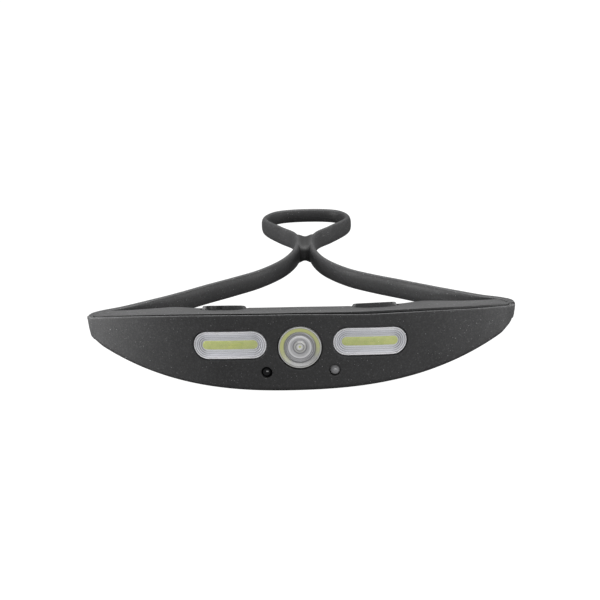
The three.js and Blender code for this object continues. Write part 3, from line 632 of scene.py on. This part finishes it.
def cover_points():
    """The flat layout: the edge, the openings, rings beside them, and an even field between."""
    top, bottom = cover_outline()
    loops = [top + bottom]
    rings = []
    for values in OPENINGS:
        loops.append(opening_ring(values, 0.0))
        for grow in (0.08, 0.18, LIP, 0.9):
            rings += opening_ring(values, grow)
    for inset in (0.1, 0.2, FLASH, 0.8):
        rings += [(s, z - inset) for s, z in top[1:-1]]
    for inset in (0.12, 0.3, 0.6, EDGE, 1.7):
        rings += [(s, z + inset) for s, z in bottom[1:-1]]
    field = []
    for i in range(int(2 * TIP_REACH / FIELD_PITCH)):
        for j in range(int((TOP_Z - BOTTOM_Z) / FIELD_PITCH)):
            s = -TIP_REACH + (i + 0.5 * (j % 2)) * FIELD_PITCH
            z = BOTTOM_Z + j * FIELD_PITCH
            inside = bottom_z(s) + 2.1 < z < top_z(s) - 1.2
            if inside and aperture_distance(s, z) > 1.4 and abs(s) < TIP_REACH - 0.6:
                field.append((s, z))
    rings = [p for p in rings if bottom_z(p[0]) < p[1] < top_z(p[0]) and aperture_distance(*p) > 0.04]
    return loops, rings + field


def cover_triangles():
    """The flat layout as points (s, z) and triangles, without the openings."""
    loops, loose = cover_points()
    flat = [p for loop in loops for p in loop] + loose
    edges = []
    start = 0
    for loop in loops:
        edges += [(start + i, start + (i + 1) % len(loop)) for i in range(len(loop))]
        start += len(loop)
    points, _, faces, _, _, _ = delaunay_2d_cdt([Vector(p) for p in flat], edges, [], 0, 1e-4)

    def keep(face):
        s = sum(points[i].x for i in face) / 3
        z = sum(points[i].y for i in face) / 3
        return bottom_z(s) < z < top_z(s) and aperture_distance(s, z) > 0

    return points, [tuple(f) for f in faces if keep(f)]


def flash_share(s, z):
    """How much a point belongs to the rough flash line along the cover's top edge."""
    under_top = top_z(s) - z
    return math.exp(-((under_top / FLASH_WIDTH) ** 2)) if under_top > -0.01 else 0.0


def cover_layers(points):
    """The layout laid on the body at each depth: the face with its flash line, and the sides behind it."""
    outer = []
    for s, z in points:
        crumb = noise.noise(Vector((s * 2.3, 0.0, 7.0))) + 0.8 * noise.noise(Vector((s * 6.1, 3.0, 1.0)))
        rise = flash_share(s, z) * max(CRUMB * crumb, NICK)
        outer.append(on_body(s, max(cover_depth(s, z), 0.0) - 0.35 * rise, z + rise))
    layers = [outer]
    for depth, fall in COVER_TOP:
        layer = []
        for s, z in points:
            drop = fall * (top_z(s) - z < 0.02) * (1 - smoothstep(abs(s), TIP_REACH - 5, TIP_REACH - 1))
            layer.append(on_body(s, depth, z - drop))
        layers.append(layer)
    return layers


def border_edges(faces):
    """The edges that belong to one triangle only."""
    edges = {(f[k], f[(k + 1) % 3]) for f in faces for k in range(3)}
    return [(a, b) for a, b in sorted(edges) if (b, a) not in edges]


def front_cover():
    """The front skin, cut for the lights, with a rough flash line along its top edge."""
    points, faces = cover_triangles()
    layers = cover_layers(points)
    count = len(points)
    last = count * (len(layers) - 1)
    back = [tuple(i + last for i in reversed(f)) for f in faces]
    walls = []
    for a, b in border_edges(faces):
        for level in range(0, last, count):
            walls.append((b + level, a + level, a + level + count, b + level + count))
    obj = new_object("front_skin", [p for layer in layers for p in layer], faces + back + walls, SILICONE)
    on_face = [flash_share(s, z) for s, z in points]
    shares = list(on_face)
    for depth, _ in COVER_TOP:
        shares += [0.9 * (share > 0.9) * (depth < 0.6) for share in on_face]
    flash = obj.data.attributes.new("flash", "FLOAT", "POINT")
    flash.data.foreach_set("value", shares)
    with editing(obj.data) as work:
        bmesh.ops.delete(work, geom=[v for v in work.verts if not v.link_faces], context="VERTS")
    return obj


# ---- Shell ----
SHELL_FRONT = COVER_DEPTH + 0.12
SHELL_PROFILE = [  # share of the depth, and how far the top has fallen there
    (0.0, 0.0),
    (0.25, 0.02),
    (0.4, 0.3),
    (0.53, 0.75),
    (0.7, 1.9),
    (0.85, 3.5),
    (0.94, 5.0),
    (1.0, 7.0),
]
CREST_ROUND = 0.12  # the rounding of the shell's front top edge, and
CREST_WIDTH = 0.4  # how far back it reaches
CREST_LIFT = 0.15  # the shell's top stands up by this behind the edge
BACK_BULGE = 0.35
WALL = 1.8  # the shell's thickness at its top and back
FLOOR_WALL = 3.0
CAVITY_REACH = 54.0


def shell_fall(share):
    """How far the shell's top has fallen at a share of its depth, at full height."""
    for (a, fall_a), (b, fall_b) in zip(SHELL_PROFILE, SHELL_PROFILE[1:]):
        if share <= b:
            return lerp(fall_a, fall_b, (share - a) / (b - a))
    return SHELL_PROFILE[-1][1]


def shell_ring(s):
    """A closed section of the shell: over its top from front to back, and back under its bottom."""
    depth = depth_at(s)
    top = top_z(s) + SHELL_STEP * (1 - end_share(s)) + SHELL_SAG * sag(s)
    bottom = bottom_z(s)
    size = min((top - bottom) / (TOP_Z - BOTTOM_Z), 1.0) ** 1.2
    wing = WING_RISE * smoothstep(abs(s), 38, 54) * (1 - smoothstep(abs(s), TIP_REACH - 6, TIP_REACH))
    steps = 22
    upper, lower = [], []
    for i in range(steps + 1):
        share = math.sin(0.5 * math.pi * i / steps)
        at = lerp(SHELL_FRONT, depth, share)
        fall = shell_fall(share) * size
        edge = CREST_ROUND * (1 - min((at - SHELL_FRONT) / CREST_WIDTH, 1.0)) ** 2
        soften = edge - CREST_LIFT * smoothstep(at, 2.5, 6)
        upper.append(on_body(s, at, top - fall - soften + wing * smoothstep(share, 0.15, 0.7)))
        lower.append(on_body(s, at, bottom + fall * 0.9))
    back, front = [], []
    for share in (i / 8 for i in range(1, 8)):
        at = depth + BACK_BULGE * size * math.sin(math.pi * share)
        back.append(on_body(s, at, lerp(upper[-1].z, lower[-1].z, share)))
        front.append(on_body(s, SHELL_FRONT, lerp(lower[0].z, upper[0].z, share)))
    return upper + back + lower[::-1] + front


def cavity_rings():
    """Sections of the shell's hollow inside, from its left end to its right."""
    rings = []
    for i in range(29):
        s = lerp(-CAVITY_REACH, CAVITY_REACH, i / 28)
        depth = depth_at(s) - WALL
        top, bottom = top_z(s) - WALL, bottom_z(s) + FLOOR_WALL
        section = [(1.0, top), (depth - 4, top - 0.8), (depth, top - 3.4)]
        section += [(depth, bottom + 3.4), (depth - 4, bottom + 0.8), (1.0, bottom)]
        rings.append([on_body(s, at, z) for at, z in section])
    return rings


def pad_outline(half_length, half_width, z, power=3.2):
    """A rounded oblong ring in a pad's own plan: x along the body, y towards the back."""
    return [(x, y, z) for x, y in oblong(half_length, half_width, power, 72)]


def on_button(side, point):
    """A point of a button's plan, on the body: its length follows the bend and the top edge's slope."""
    x, y, z = point
    if z > BUTTON_BASE:
        z = max(z - BUTTON_LEAN * (y + BUTTON_HALF_WIDTH), BUTTON_BASE + 0.05)
    radius = FRONT_RADIUS - BUTTON_DEPTH
    reach = side * FRONT_RADIUS * math.asin(BUTTON_X / radius) + x * FRONT_RADIUS / radius
    return on_body(reach, BUTTON_DEPTH + y, top_z(reach) + SHELL_STEP + SHELL_SAG * sag(reach) + z)


def button_well(side):
    """What is cut out of the shell for a button."""
    a, b = BUTTON_HALF_LENGTH + BUTTON_GAP, BUTTON_HALF_WIDTH + BUTTON_GAP
    rings = [[on_button(side, p) for p in pad_outline(a, b, z)] for z in WELL_SPAN]
    return new_object("well", *loft(rings), SILICONE)


FLAP_LOW, FLAP_HIGH = box_mm("usb_flap")
FLAP_CENTRE = (FLAP_LOW + FLAP_HIGH) / 2
FLAP_THICKNESS = 1.5
FLAP_GAP = 0.2
POCKET_HEIGHT = 3.0  # of the block that cuts the flap's pocket
SOCKET_HOLE = (9.5, 3.8, 8.0)


def body_shell():
    """The rear moulding: the body's top, bottom and back, hollow, with wells for the buttons and the flap."""
    count = 150
    reach = [lerp(-TIP_REACH, TIP_REACH, i / count) for i in range(count + 1)]
    shell = new_object("rear_skin", *loft([shell_ring(s) for s in reach]), SILICONE)
    cutters = [new_object("cavity", *loft(cavity_rings()), SILICONE)]
    cutters += [button_well(side) for _, side in SIDES]
    size = FLAP_HIGH - FLAP_LOW
    pocket = (size.x + 2 * FLAP_GAP, size.y + 2 * FLAP_GAP, POCKET_HEIGHT)
    roof = FLAP_LOW.z + FLAP_THICKNESS + FLAP_GAP
    cutters.append(block("pocket", pocket, (FLAP_CENTRE.x, FLAP_CENTRE.y, roof - POCKET_HEIGHT / 2)))
    cutters.append(block("socket_hole", SOCKET_HOLE, (FLAP_CENTRE.x, FLAP_CENTRE.y, roof + 3.0)))
    cut(shell, cutters)
    shade(shell, 32)
    return shell


# ---- Strap ----
NECK_X = 3.0
STRAP_TWIST = 0.012  # the left arm sits a little higher than the right one
VOXEL = 0.3  # of the mesh that blends the strap's parts
WEB_FRONT, WEB_BACK = 98.6, 118.2
WEB_HEIGHT = 4.0
WEB_SHEAR = 0.35  # the web leans back towards its top
ARM_LINE = [  # the strap's middle line on the right, from the body round to the back of the loop
    (77.48, 11.46),
    (76.7, 14.9),
    (73.6, 17.8),
    (66.8, 21.6),
    (59.9, 26.8),
    (49.1, 36.2),
    (38.2, 46.3),
    (27.0, 55.9),
    (17.4, 65.4),
    (8.9, 79.0),
    (4.6, 91.5),
    (NECK_X, 102.0),
    (NECK_X, 112.5),
    (5.0, 121.0),
    (10.4, 129.7),
    (17.3, 145.3),
    (12.9, 157.4),
    (0.0, 160.6),
]


def centripetal(points, samples):
    """Even samples along a smooth curve through the points, which meets its mirror image without a kink."""
    pts = [Vector((*p, 0.0)) for p in points]
    pts = [2 * pts[0] - pts[1], *pts, Vector((-pts[-2].x, pts[-2].y, 0.0))]
    dense = []
    steps = 40
    for p0, p1, p2, p3 in zip(pts, pts[1:], pts[2:], pts[3:]):
        t0 = 0.0
        t1 = t0 + (p1 - p0).length ** 0.5
        t2 = t1 + (p2 - p1).length ** 0.5
        t3 = t2 + (p3 - p2).length ** 0.5
        for i in range(steps):
            t = lerp(t1, t2, i / steps)
            a1 = (t1 - t) / (t1 - t0) * p0 + (t - t0) / (t1 - t0) * p1
            a2 = (t2 - t) / (t2 - t1) * p1 + (t - t1) / (t2 - t1) * p2
            a3 = (t3 - t) / (t3 - t2) * p2 + (t - t2) / (t3 - t2) * p3
            b1 = (t2 - t) / (t2 - t0) * a1 + (t - t0) / (t2 - t0) * a2
            b2 = (t3 - t) / (t3 - t1) * a2 + (t - t1) / (t3 - t1) * a3
            dense.append((t2 - t) / (t2 - t1) * b1 + (t - t1) / (t2 - t1) * b2)
    dense.append(pts[-2])
    lengths = np.cumsum([0.0] + [(b - a).length for a, b in zip(dense, dense[1:])])
    wanted = np.linspace(0.0, lengths[-1], samples)
    array = np.array([p[:] for p in dense])
    return [Vector([float(np.interp(w, lengths, array[:, k])) for k in range(3)]) for w in wanted]


def ribbon_height(y):
    """The ribbon's height at a distance behind the body."""
    arm = lerp(ROOT_HEIGHT, ARM_HEIGHT, smoothstep(y, 14, 40))
    neck = lerp(arm, NECK_HEIGHT, smoothstep(y, 40, 70))
    return lerp(neck, LOOP_HEIGHT, smoothstep(y, 130, 161))


def ribbon_z(y):
    """The height of the ribbon's middle line."""
    return lerp(ROOT_Z, 0.0, smoothstep(y, 14, 45))


def ribbon_power(y):
    """How boxy the ribbon's section is: flat-topped at its roots, rounded further back."""
    return lerp(8.0, 2.5, smoothstep(y, 20, 36))


def root_lean(p, z):
    """Where it leaves the body, the ribbon leans in towards its lower edge, as the ends of the body do."""
    drop = min(max(END_TOP - z, 0.0) / (END_TOP - END_BOTTOM), 1.3)
    return END_TAPER * drop**1.8 * (1 - smoothstep(p.y, 12, 30))


def ribbon(line):
    """A skin along a line, with the ribbon's section square to it."""
    rings = []
    for i, p in enumerate(line):
        along = line[min(i + 1, len(line) - 1)] - line[max(i - 1, 0)]
        across = Vector((along.y, -along.x, 0.0)).normalized()
        section = oblong(STRAP_THICKNESS / 2, ribbon_height(p.y) / 2, ribbon_power(p.y), 36)
        ring = []
        for thickness, height in section:
            z = ribbon_z(p.y) + height
            ring.append(p + across * (thickness - root_lean(p, z)) + Vector((0, 0, z)))
        rings.append(ring)
    return loft(rings)


def web():
    """The moulded web between the two ribbons: a rounded bar, pinched in its middle."""
    middle = (WEB_FRONT + WEB_BACK) / 2
    rings = []
    for i in range(17):
        x = lerp(-NECK_X, NECK_X, i / 16)
        pinch = math.cos(0.5 * math.pi * x / NECK_X) ** 2
        depth = (WEB_BACK - WEB_FRONT) / 2 - 0.5 * pinch
        section = oblong(depth, WEB_HEIGHT - 0.8 * pinch, 4.0, 36)
        rings.append([Vector((x, middle + 0.3 * pinch + y + WEB_SHEAR * z, z)) for y, z in section])
    return loft(rings)


def taubin(obj, rounds):
    """Smooths a dense mesh without shrinking it."""
    mesh = obj.data
    edges = np.empty(len(mesh.edges) * 2, np.int64)
    mesh.edges.foreach_get("vertices", edges)
    a, b = edges[0::2], edges[1::2]
    count = len(mesh.vertices)
    places = np.empty(count * 3)
    mesh.vertices.foreach_get("co", places)
    places = places.reshape(-1, 3)
    degree = np.bincount(a, minlength=count) + np.bincount(b, minlength=count)
    for step in range(rounds * 2):
        total = np.empty_like(places)
        for k in range(3):
            total[:, k] = np.bincount(a, places[b, k], count) + np.bincount(b, places[a, k], count)
        factor = 0.5 if step % 2 == 0 else -0.52
        places += factor * (total / degree[:, None] - places)
    mesh.vertices.foreach_set("co", places.ravel())
    mesh.update()


def painted_shade_depth(p):
    """How much painted shade darkens the strap at a point: a little away from the body, most in the neck's
    middle crease.
    """
    # painted shade over the whole strap away from the body
    far_shade = 0.22 * smoothstep(p.y, 25, 60)
    along = smoothstep(p.y, 96, 99) * (1 - smoothstep(p.y, 117, 121))
    return far_shade + 0.73 * along * (1 - smoothstep(abs(p.x), 0.8, 3.4))


def strap():
    """Both arms, the web and the hanging loop as one moulding, blended where they join."""
    half = centripetal(ARM_LINE, 230)
    whole = half + [Vector((-p.x, p.y, p.z)) for p in half[-2::-1]]
    band = new_object("strap", *ribbon(whole), SILICONE)
    bridge = new_object("web", *web(), SILICONE)
    with editing(band.data) as work:
        work.from_mesh(bridge.data)
    bpy.data.objects.remove(bridge)
    remesh = band.modifiers.new("remesh", "REMESH")
    remesh.mode = "VOXEL"
    remesh.voxel_size = VOXEL * MM
    remesh.use_smooth_shade = True
    apply_modifiers(band)
    taubin(band, 14)
    shade(band, 70)
    # painted shade for the silicone material, stored on the strap's points
    painted_shade = band.data.attributes.new("painted_shade", "FLOAT", "POINT")
    places = [v.co / MM for v in band.data.vertices]
    painted_shade.data.foreach_set("value", [painted_shade_depth(p) for p in places])
    for v in band.data.vertices:
        v.co.z -= STRAP_TWIST * v.co.x * smoothstep(v.co.y / MM, 35, 65)
    return band


# ---- Optics ----
def seat(obj, matrix):
    """Moves a mesh made round its own origin to its place, which is given in millimetres."""
    obj.data.transform(Matrix.Scale(MM, 4) @ matrix @ Matrix.Scale(1 / MM, 4))
    obj.data.update()


def round_stack(name, levels, mat, matrix, steps):
    """A turned solid from (radius, z) levels."""
    return new_object(name, *loft([circle(radius, z, steps) for radius, z in levels]), mat, matrix)


TUB_LEVELS = [  # inset from the edge, depth, and how dark the painted shade along the step there is
    (0.0, -0.8, 1.0),
    (0.0, -0.45, 0.0),
    (0.1, -0.34, 0.0),
    (0.45, -0.34, 0.0),
    (0.52, -0.42, 0.8),
    (0.7, -0.42, 0.8),
    (0.78, -0.4, 0.1),
    (1.2, -0.44, 0.05),
    (1.3, -0.52, 0.75),
    (1.45, -0.52, 0.75),
    (1.55, -0.5, 0.05),
    (1.9, -0.56, 0.1),
    (2.0, -0.68, 0.95),
    (2.15, -0.68, 0.95),
    (2.25, -0.66, 0.1),
    (2.6, -0.74, 0.15),
    (2.7, -0.9, 0.9),
    (2.82, -0.9, 0.9),
    (2.9, -0.92, 0.2),
]
TUB_FLOOR = -1.05
TUB_BACK = -7.9
TUB_INSET = COB_RADIUS - 0.05  # where a stadium has shrunk to nearly a line


def stadium_stack(name, levels, mat, half_length, radius, steps):
    """A solid over stadium rings, from (inset, z, ...) levels, closed at both ends."""
    rings = [stadium(half_length - level[0], radius - level[0], level[1], steps, 10) for level in levels]
    return new_object(name, *loft(rings), mat)


def seat_floodlight(obj, side):
    """Bends a floodlight's piece with the face, tilts it, and puts it in its bay."""
    turn = Matrix.Rotation(math.radians(-side * COB_TILT[side]), 4, "Z")
    for v in obj.data.vertices:
        v.co = turn @ v.co
        v.co.z -= (v.co.x / MM) ** 2 / (2 * FRONT_RADIUS) * MM
    seat(obj, bay(side * COB_X, COB_Z[side]))
    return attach(obj, "lamp")


def flood_window(name):
    """The thin clear window over a floodlight."""
    levels = [(0.1, -0.3), (0.02, -0.28), (0.0, -0.2), (0.08, -0.12), (0.4, -0.06), (TUB_INSET, -0.05)]
    return stadium_stack(name, levels, WINDOW, COB_HALF_LENGTH, COB_RADIUS, 16)


def flood_tub(name):
    """The moulded bezel and stepped tub round the light strip, with a closed back, and painted shade along
    its steps and in its depth.
    """
    levels = [(TUB_INSET, TUB_BACK, 1.0), (0.0, TUB_BACK, 1.0), *TUB_LEVELS, (TUB_INSET, TUB_FLOOR, 0.0)]
    obj = stadium_stack(name, levels, REFLECTOR, COB_HALF_LENGTH, COB_RADIUS, 16)
    count = len(obj.data.vertices) // len(levels)
    straight = (COB_HALF_LENGTH - COB_RADIUS - 1.0) * MM
    step_shades, deep_shades = [], []
    for i, v in enumerate(obj.data.vertices):
        # painted shade: dark along the steps, darker at the rounded ends, and growing with depth in the tub
        inset, _, dark = levels[i // count]
        step_shades.append(dark * lerp(0.35, 1.0, smoothstep(abs(v.co.x), straight, straight + 3 * MM)))
        deep_shades.append(smoothstep(inset, 0.5, 1.3))
    for kind, values in (("line", step_shades), ("painted_deep_shade", deep_shades)):
        obj.data.attributes.new(kind, "FLOAT", "POINT").data.foreach_set("value", values)
    return obj


def flood_strip(name):
    """The phosphor strip, slightly domed."""
    base = TUB_FLOOR - 0.05
    profile = [(0.0, 0.0), (0.0, 0.12), (0.1, 0.22), (0.4, 0.3), (1.0, 0.34), (1.6, 0.35)]
    dome = [(inset, base + rise) for inset, rise in profile]
    return stadium_stack(name, dome, PHOSPHOR, LIGHT_HALF_LENGTH, LIGHT_RADIUS, 12)


def floodlights():
    kinds = (
        (flood_window, "cob_window", "clear_lens"),
        (flood_tub, "cob_reflector", "white_plastic"),
        (flood_strip, "cob_phosphor", "phosphor"),
    )
    for name, side in SIDES:
        for make, node, slot in kinds:
            piece = seat_floodlight(make(f"{make.__name__}_{name}"), side)
            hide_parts(f"{node}_{name}")
            shade(piece, 50)


LENS_PROFILE = [  # radius, and height from the front face
    (0.02, -1.30),
    (0.9, -1.22),
    (1.25, -0.92),
    (1.5, -0.9),
    (2.0, -1.15),
    (2.6, -1.2),
    (3.05, -0.82),
    (3.3, -0.78),
    (4.1, -0.98),
    (4.55, -0.98),
    (4.85, -0.60),
    (5.1, -0.56),
    (5.5, -0.8),
    (5.7, -0.82),
    (5.95, -0.52),
    (6.9, -0.34),
    (7.3, -0.28),
    (7.55, -0.32),
    (7.7, -0.48),
    (SPOT_RADIUS, -0.7),
]


def spot_lens():
    """The lens as an opaque stepped body, with the rings that show through it painted on as reflections and
    highlights.
    """
    back = [(0.02, -5.6), (3.8, -5.6), (6.6, -3.8), (SPOT_RADIUS, -3.2)]
    body = round_stack("spot_lens_body", back + LENS_PROFILE[::-1], LENS_PAINTED_REFLECTION, None, 96)
    layer = body.data.uv_layers.new(name="polar")
    for loop in body.data.loops:
        co = body.data.vertices[loop.vertex_index].co / MM
        turn = (math.atan2(co.y, co.x) / (2 * math.pi)) % 1.0
        layer.data[loop.index].uv = (math.hypot(co.x, co.y) / SPOT_RADIUS, turn)
    seat(body, bay(0.0, SPOT_Z))
    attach(body, "lamp")
    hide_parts("spot_lens")


DOME_BULGE = 1.55
DOME_SEAT = -6.3
DOME_BACK = -7.0
DOME_RIM = 0.3


def sensor_dome(name, side, mat):
    """A small domed lens on a rimmed barrel."""
    surface = on_body(side * FRONT_RADIUS * math.asin(SENSOR_X / FRONT_RADIUS), 0.0, SENSOR_Z)
    place = Matrix.Translation(surface) @ Matrix.Rotation(math.radians(90), 4, "X")
    turns = np.linspace(0.02, 0.5 * math.pi, 14)
    levels = [(SENSOR_RADIUS * math.sin(a), 0.15 - DOME_BULGE * (1 - math.cos(a))) for a in turns]
    rim = SENSOR_RADIUS + DOME_RIM
    levels += [(SENSOR_RADIUS, DOME_SEAT), (rim, DOME_SEAT), (rim, DOME_BACK), (0.02, DOME_BACK)]
    return round_stack(name, levels, mat, place, 40)


def sensors():
    kinds = (("ir_receiver", -1, RECEIVER, "dark_lens"), ("ir_emitter", 1, EMITTER, "clear_lens"))
    for name, side, mat, slot in kinds:
        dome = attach(sensor_dome(f"{name}_dome", side, mat), "lamp")
        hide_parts(name)


# ---- Buttons and flap ----
MARK_Y = -3.5  # the small dimples near the front edge of a pad


def mark(side, x):
    """A small oblong that cuts a dimple into a pad."""
    outline = stadium(1.0, 0.6, 0, 6, 2)
    rings = [[on_button(side, (x + p.x, MARK_Y + p.y, z)) for p in outline] for z in (0.35, 3.0)]
    return new_object("mark", *loft(rings), SILICONE)


def button_pad(name, side, marks):
    """A soft pad with sloping sides, its length following the body's bend."""
    a, b = BUTTON_HALF_LENGTH, BUTTON_HALF_WIDTH
    levels = [(0.0, 0.0, BUTTON_BASE), (0.06, 0.04, -0.4), (1.1, 0.2, 1.68), (1.25, 0.3, 1.78)]
    levels += [(1.6, 0.6, 1.83), (5.5, 2.8, 1.83)]
    rings = [[on_button(side, p) for p in pad_outline(a - u, b - v, z)] for u, v, z in levels]
    pad = new_object(name, *loft(rings), SILICONE)
    cut(pad, [mark(side, x) for x in marks])
    shade(pad, 28)
    return pad


def buttons():
    for name, side, marks in (("sensor_button", -1, (-4.7, -0.7)), ("power_button", 1, ())):
        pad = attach(button_pad(f"{name}_pad", side, marks), name)
        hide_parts(name)


PLUG_X, PLUG_Y = 3.7, 1.0  # half the plug's length and width
NOTCH = (1.4, 3.6, 1.4)  # for a finger nail


def usb_flap():
    """The charging socket's flap: a soft slab with a finger notch and a plug that fits the socket."""
    half_x, half_y = (FLAP_HIGH.x - FLAP_LOW.x) / 2, (FLAP_HIGH.y - FLAP_LOW.y) / 2
    centre = Vector((FLAP_CENTRE.x, FLAP_CENTRE.y, FLAP_LOW.z))
    levels = [(0.45, 0.0), (0.12, 0.12), (0.0, 0.4), (0.0, FLAP_THICKNESS - 0.2), (0.2, FLAP_THICKNESS)]
    rings = [[Vector(p) + centre for p in pad_outline(half_x - i, half_y - i, z, 7.0)] for i, z in levels]
    flap = new_object("usb_flap_cover", *loft(rings), SILICONE)
    steps = ((0, 1.3), (0, 2.9), (0.25, 3.2))
    plug = [[p + centre + Vector((0, 0, z)) for p in stadium(PLUG_X - i, PLUG_Y - i)] for i, z in steps]
    cut(flap, [new_object("plug", *loft(plug), SILICONE)], "UNION")
    cut(flap, [block("notch", NOTCH, (half_x + centre.x, centre.y, centre.z))])
    shade(flap, 40)
    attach(flap, "usb_flap")
    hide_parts("usb_flap")


PAD_ANGLE = 17.0  # degrees of the bend that the pad covers, each side
PAD_ROOT = 18.75
PAD_PROUD = 1.0
GROOVE_DEPTH = 0.3
GROOVE_PITCH = 3.0


def forehead_pad():
    """The soft pad that rests on the forehead, with shallow grooves across it."""
    low, high = box_mm("forehead_pad")
    half = (high.z - low.z) / 2
    reach = FRONT_RADIUS * math.radians(PAD_ANGLE)
    rings = []
    for i in range(61):
        s = lerp(-reach, reach, i / 60)
        end = min(1.0, (reach - abs(s)) / 2.0)
        tall = half - 2.0 * (1 - math.sqrt(max(1 - (1 - end) ** 2, 0.0)))
        back = BODY_DEPTH + (PAD_PROUD - 0.8 * (1 - end) ** 2)
        section = [(PAD_ROOT, -tall), (PAD_ROOT, tall), (back - 0.4, tall), (back - 0.08, tall - 0.4)]
        for k in range(1, 40):
            z = lerp(tall - 0.6, 0.6 - tall, k / 40)
            wave = max(0.0, math.cos(2 * math.pi * z / GROOVE_PITCH)) ** 6
            section.append((back - GROOVE_DEPTH * wave * min(1.0, end * 2), z))
        section += [(back - 0.08, 0.4 - tall), (back - 0.4, -tall)]
        most = BODY_DEPTH + PAD_PROUD + 0.4 * (abs(s) / 20) ** 2
        rings.append([on_body(s, min(d, most), z) for d, z in section])
    pad = new_object("forehead_pad_skin", *loft(rings), SILICONE)
    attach(pad, "lamp")
    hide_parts("forehead_pad")


# ---- Everything else keeps its CAD shape ----
SLOT_MATERIALS = {
    "silicone": SILICONE,
    "black_plastic": plastic_material("black_plastic", (0.014, 0.014, 0.015), 0.5),
    "white_plastic": REFLECTOR,
    "clear_lens": LENS,
    "dark_lens": RECEIVER,
    "phosphor": PHOSPHOR,
    "board_green": plastic_material("board_green", (0.02, 0.13, 0.05), 0.35, 900.0),
    "board_white": plastic_material("board_white", (0.7, 0.7, 0.68), 0.4),
    "steel": plastic_material("steel", (0.55, 0.55, 0.56), 0.28, 1500.0, 1.0),
    "cell_wrap": plastic_material("cell_wrap", (0.36, 0.37, 0.40), 0.35, 800.0, 0.7),
    "red_wire": plastic_material("red_wire", (0.36, 0.02, 0.015), 0.4),
    "black_wire": plastic_material("black_wire", (0.01, 0.01, 0.01), 0.4),
}


def dress_cad_nodes():
    """Gives each CAD node the material of its own slot."""
    slots = {part["node"]: part["material_slot"] for part in frame["record"]["subparts"]}
    for name, node in frame["nodes"].items():
        node.data.materials.clear()
        node.data.materials.append(SLOT_MATERIALS[slots[name]])


# ---- Stage ----
def area_light(name, place, target, size, power):
    """A rectangular light that points at a target. Places and sizes are in metres."""
    lamp = bpy.data.lights.new(name, "AREA")
    lamp.shape = "RECTANGLE"
    lamp.size, lamp.size_y = size
    lamp.energy = power
    obj = add_object(name, lamp)
    obj.location = place
    obj.rotation_euler = (Vector(target) - Vector(place)).to_track_quat("-Z", "Y").to_euler()


def floor():
    """A plain white floor just under the lamp, which lights nothing."""
    mesh = bpy.data.meshes.new("floor")
    size = 6.0
    low = cad_box[0][2] - 0.2 * MM
    corners = ((-1, -1), (1, -1), (1, 1), (-1, 1))
    mesh.from_pydata([(size * x, size * y, low) for x, y in corners], [], [(0, 1, 2, 3)])
    look = {"base_color": (0.05, 0.05, 0.05, 1), "roughness": 1.0, "specular_ior_level": 0.0}
    glow = {"emission_color": (1, 1, 1, 1), "emission_strength": 1.02}
    mesh.materials.append(material("floor_white", **look, **glow)[0])
    obj = add_object("floor", mesh)
    obj.visible_diffuse = False
    obj.visible_glossy = False


def studio():
    """Two soft lights overhead, a low one at each end, a weak one in front, and a dim white world."""
    area_light("overhead_left", (-0.22, 0.30, 0.65), (-0.02, 0.0, 0), (0.4, 0.4), 5.0)
    area_light("overhead_right", (0.22, 0.30, 0.65), (0.02, 0.0, 0), (0.4, 0.4), 5.0)
    area_light("side_left", (-0.30, 0.02, 0.04), (-0.07, 0.01, 0), (0.12, 0.12), 1.12)
    area_light("side_right", (0.30, 0.02, 0.04), (0.07, 0.01, 0), (0.12, 0.12), 0.75)
    area_light("front_fill", (0.14, -0.75, 0.08), (0, 0, 0), (0.6, 0.35), 2.85)
    world = bpy.data.worlds.new("studio")
    world.use_nodes = True
    world.node_tree.nodes["Background"].inputs["Color"].default_value = (1, 1, 1, 1)
    world.node_tree.nodes["Background"].inputs["Strength"].default_value = 0.22
    bpy.context.scene.world = world
    bpy.context.scene.view_settings.view_transform = "Standard"


def camera():
    """The photograph's view: a little from above and the right, with the frame's right side tipped up."""
    elevation = math.radians(18.0)
    azimuth = math.radians(1.7)
    roll = math.radians(2.4)
    distance = 0.88  # metres
    level = math.cos(elevation)
    back = Vector((math.sin(azimuth) * level, -math.cos(azimuth) * level, math.sin(elevation)))
    right = Vector((math.cos(azimuth), math.sin(azimuth), 0.0))
    up = back.cross(right)
    lens = bpy.data.cameras.new("camera")
    lens.sensor_width = 36.0
    lens.lens = 148.1
    lens.shift_y = 0.0867
    lens.clip_start = 0.01
    obj = add_object("camera", lens)
    target = Vector((0.0, FRONT_Y, -2.31)) * MM
    turn = Matrix((right, up, back)).transposed() @ Matrix.Rotation(-roll, 3, "Z")
    obj.matrix_world = Matrix.Translation(target + back * distance) @ turn.to_4x4()
    bpy.context.scene.camera = obj


# ---- Assembly ----
camera()
dress_cad_nodes()

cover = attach(front_cover(), "lamp")
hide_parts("front_cover")

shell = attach(body_shell(), "lamp")
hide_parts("body_shell")

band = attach(strap(), "lamp")
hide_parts("strap_arm_left", "strap_arm_right", "strap_bridge", "hang_loop")

floodlights()
spot_lens()
sensors()
buttons()
usb_flap()
forehead_pad()
floor()
studio()
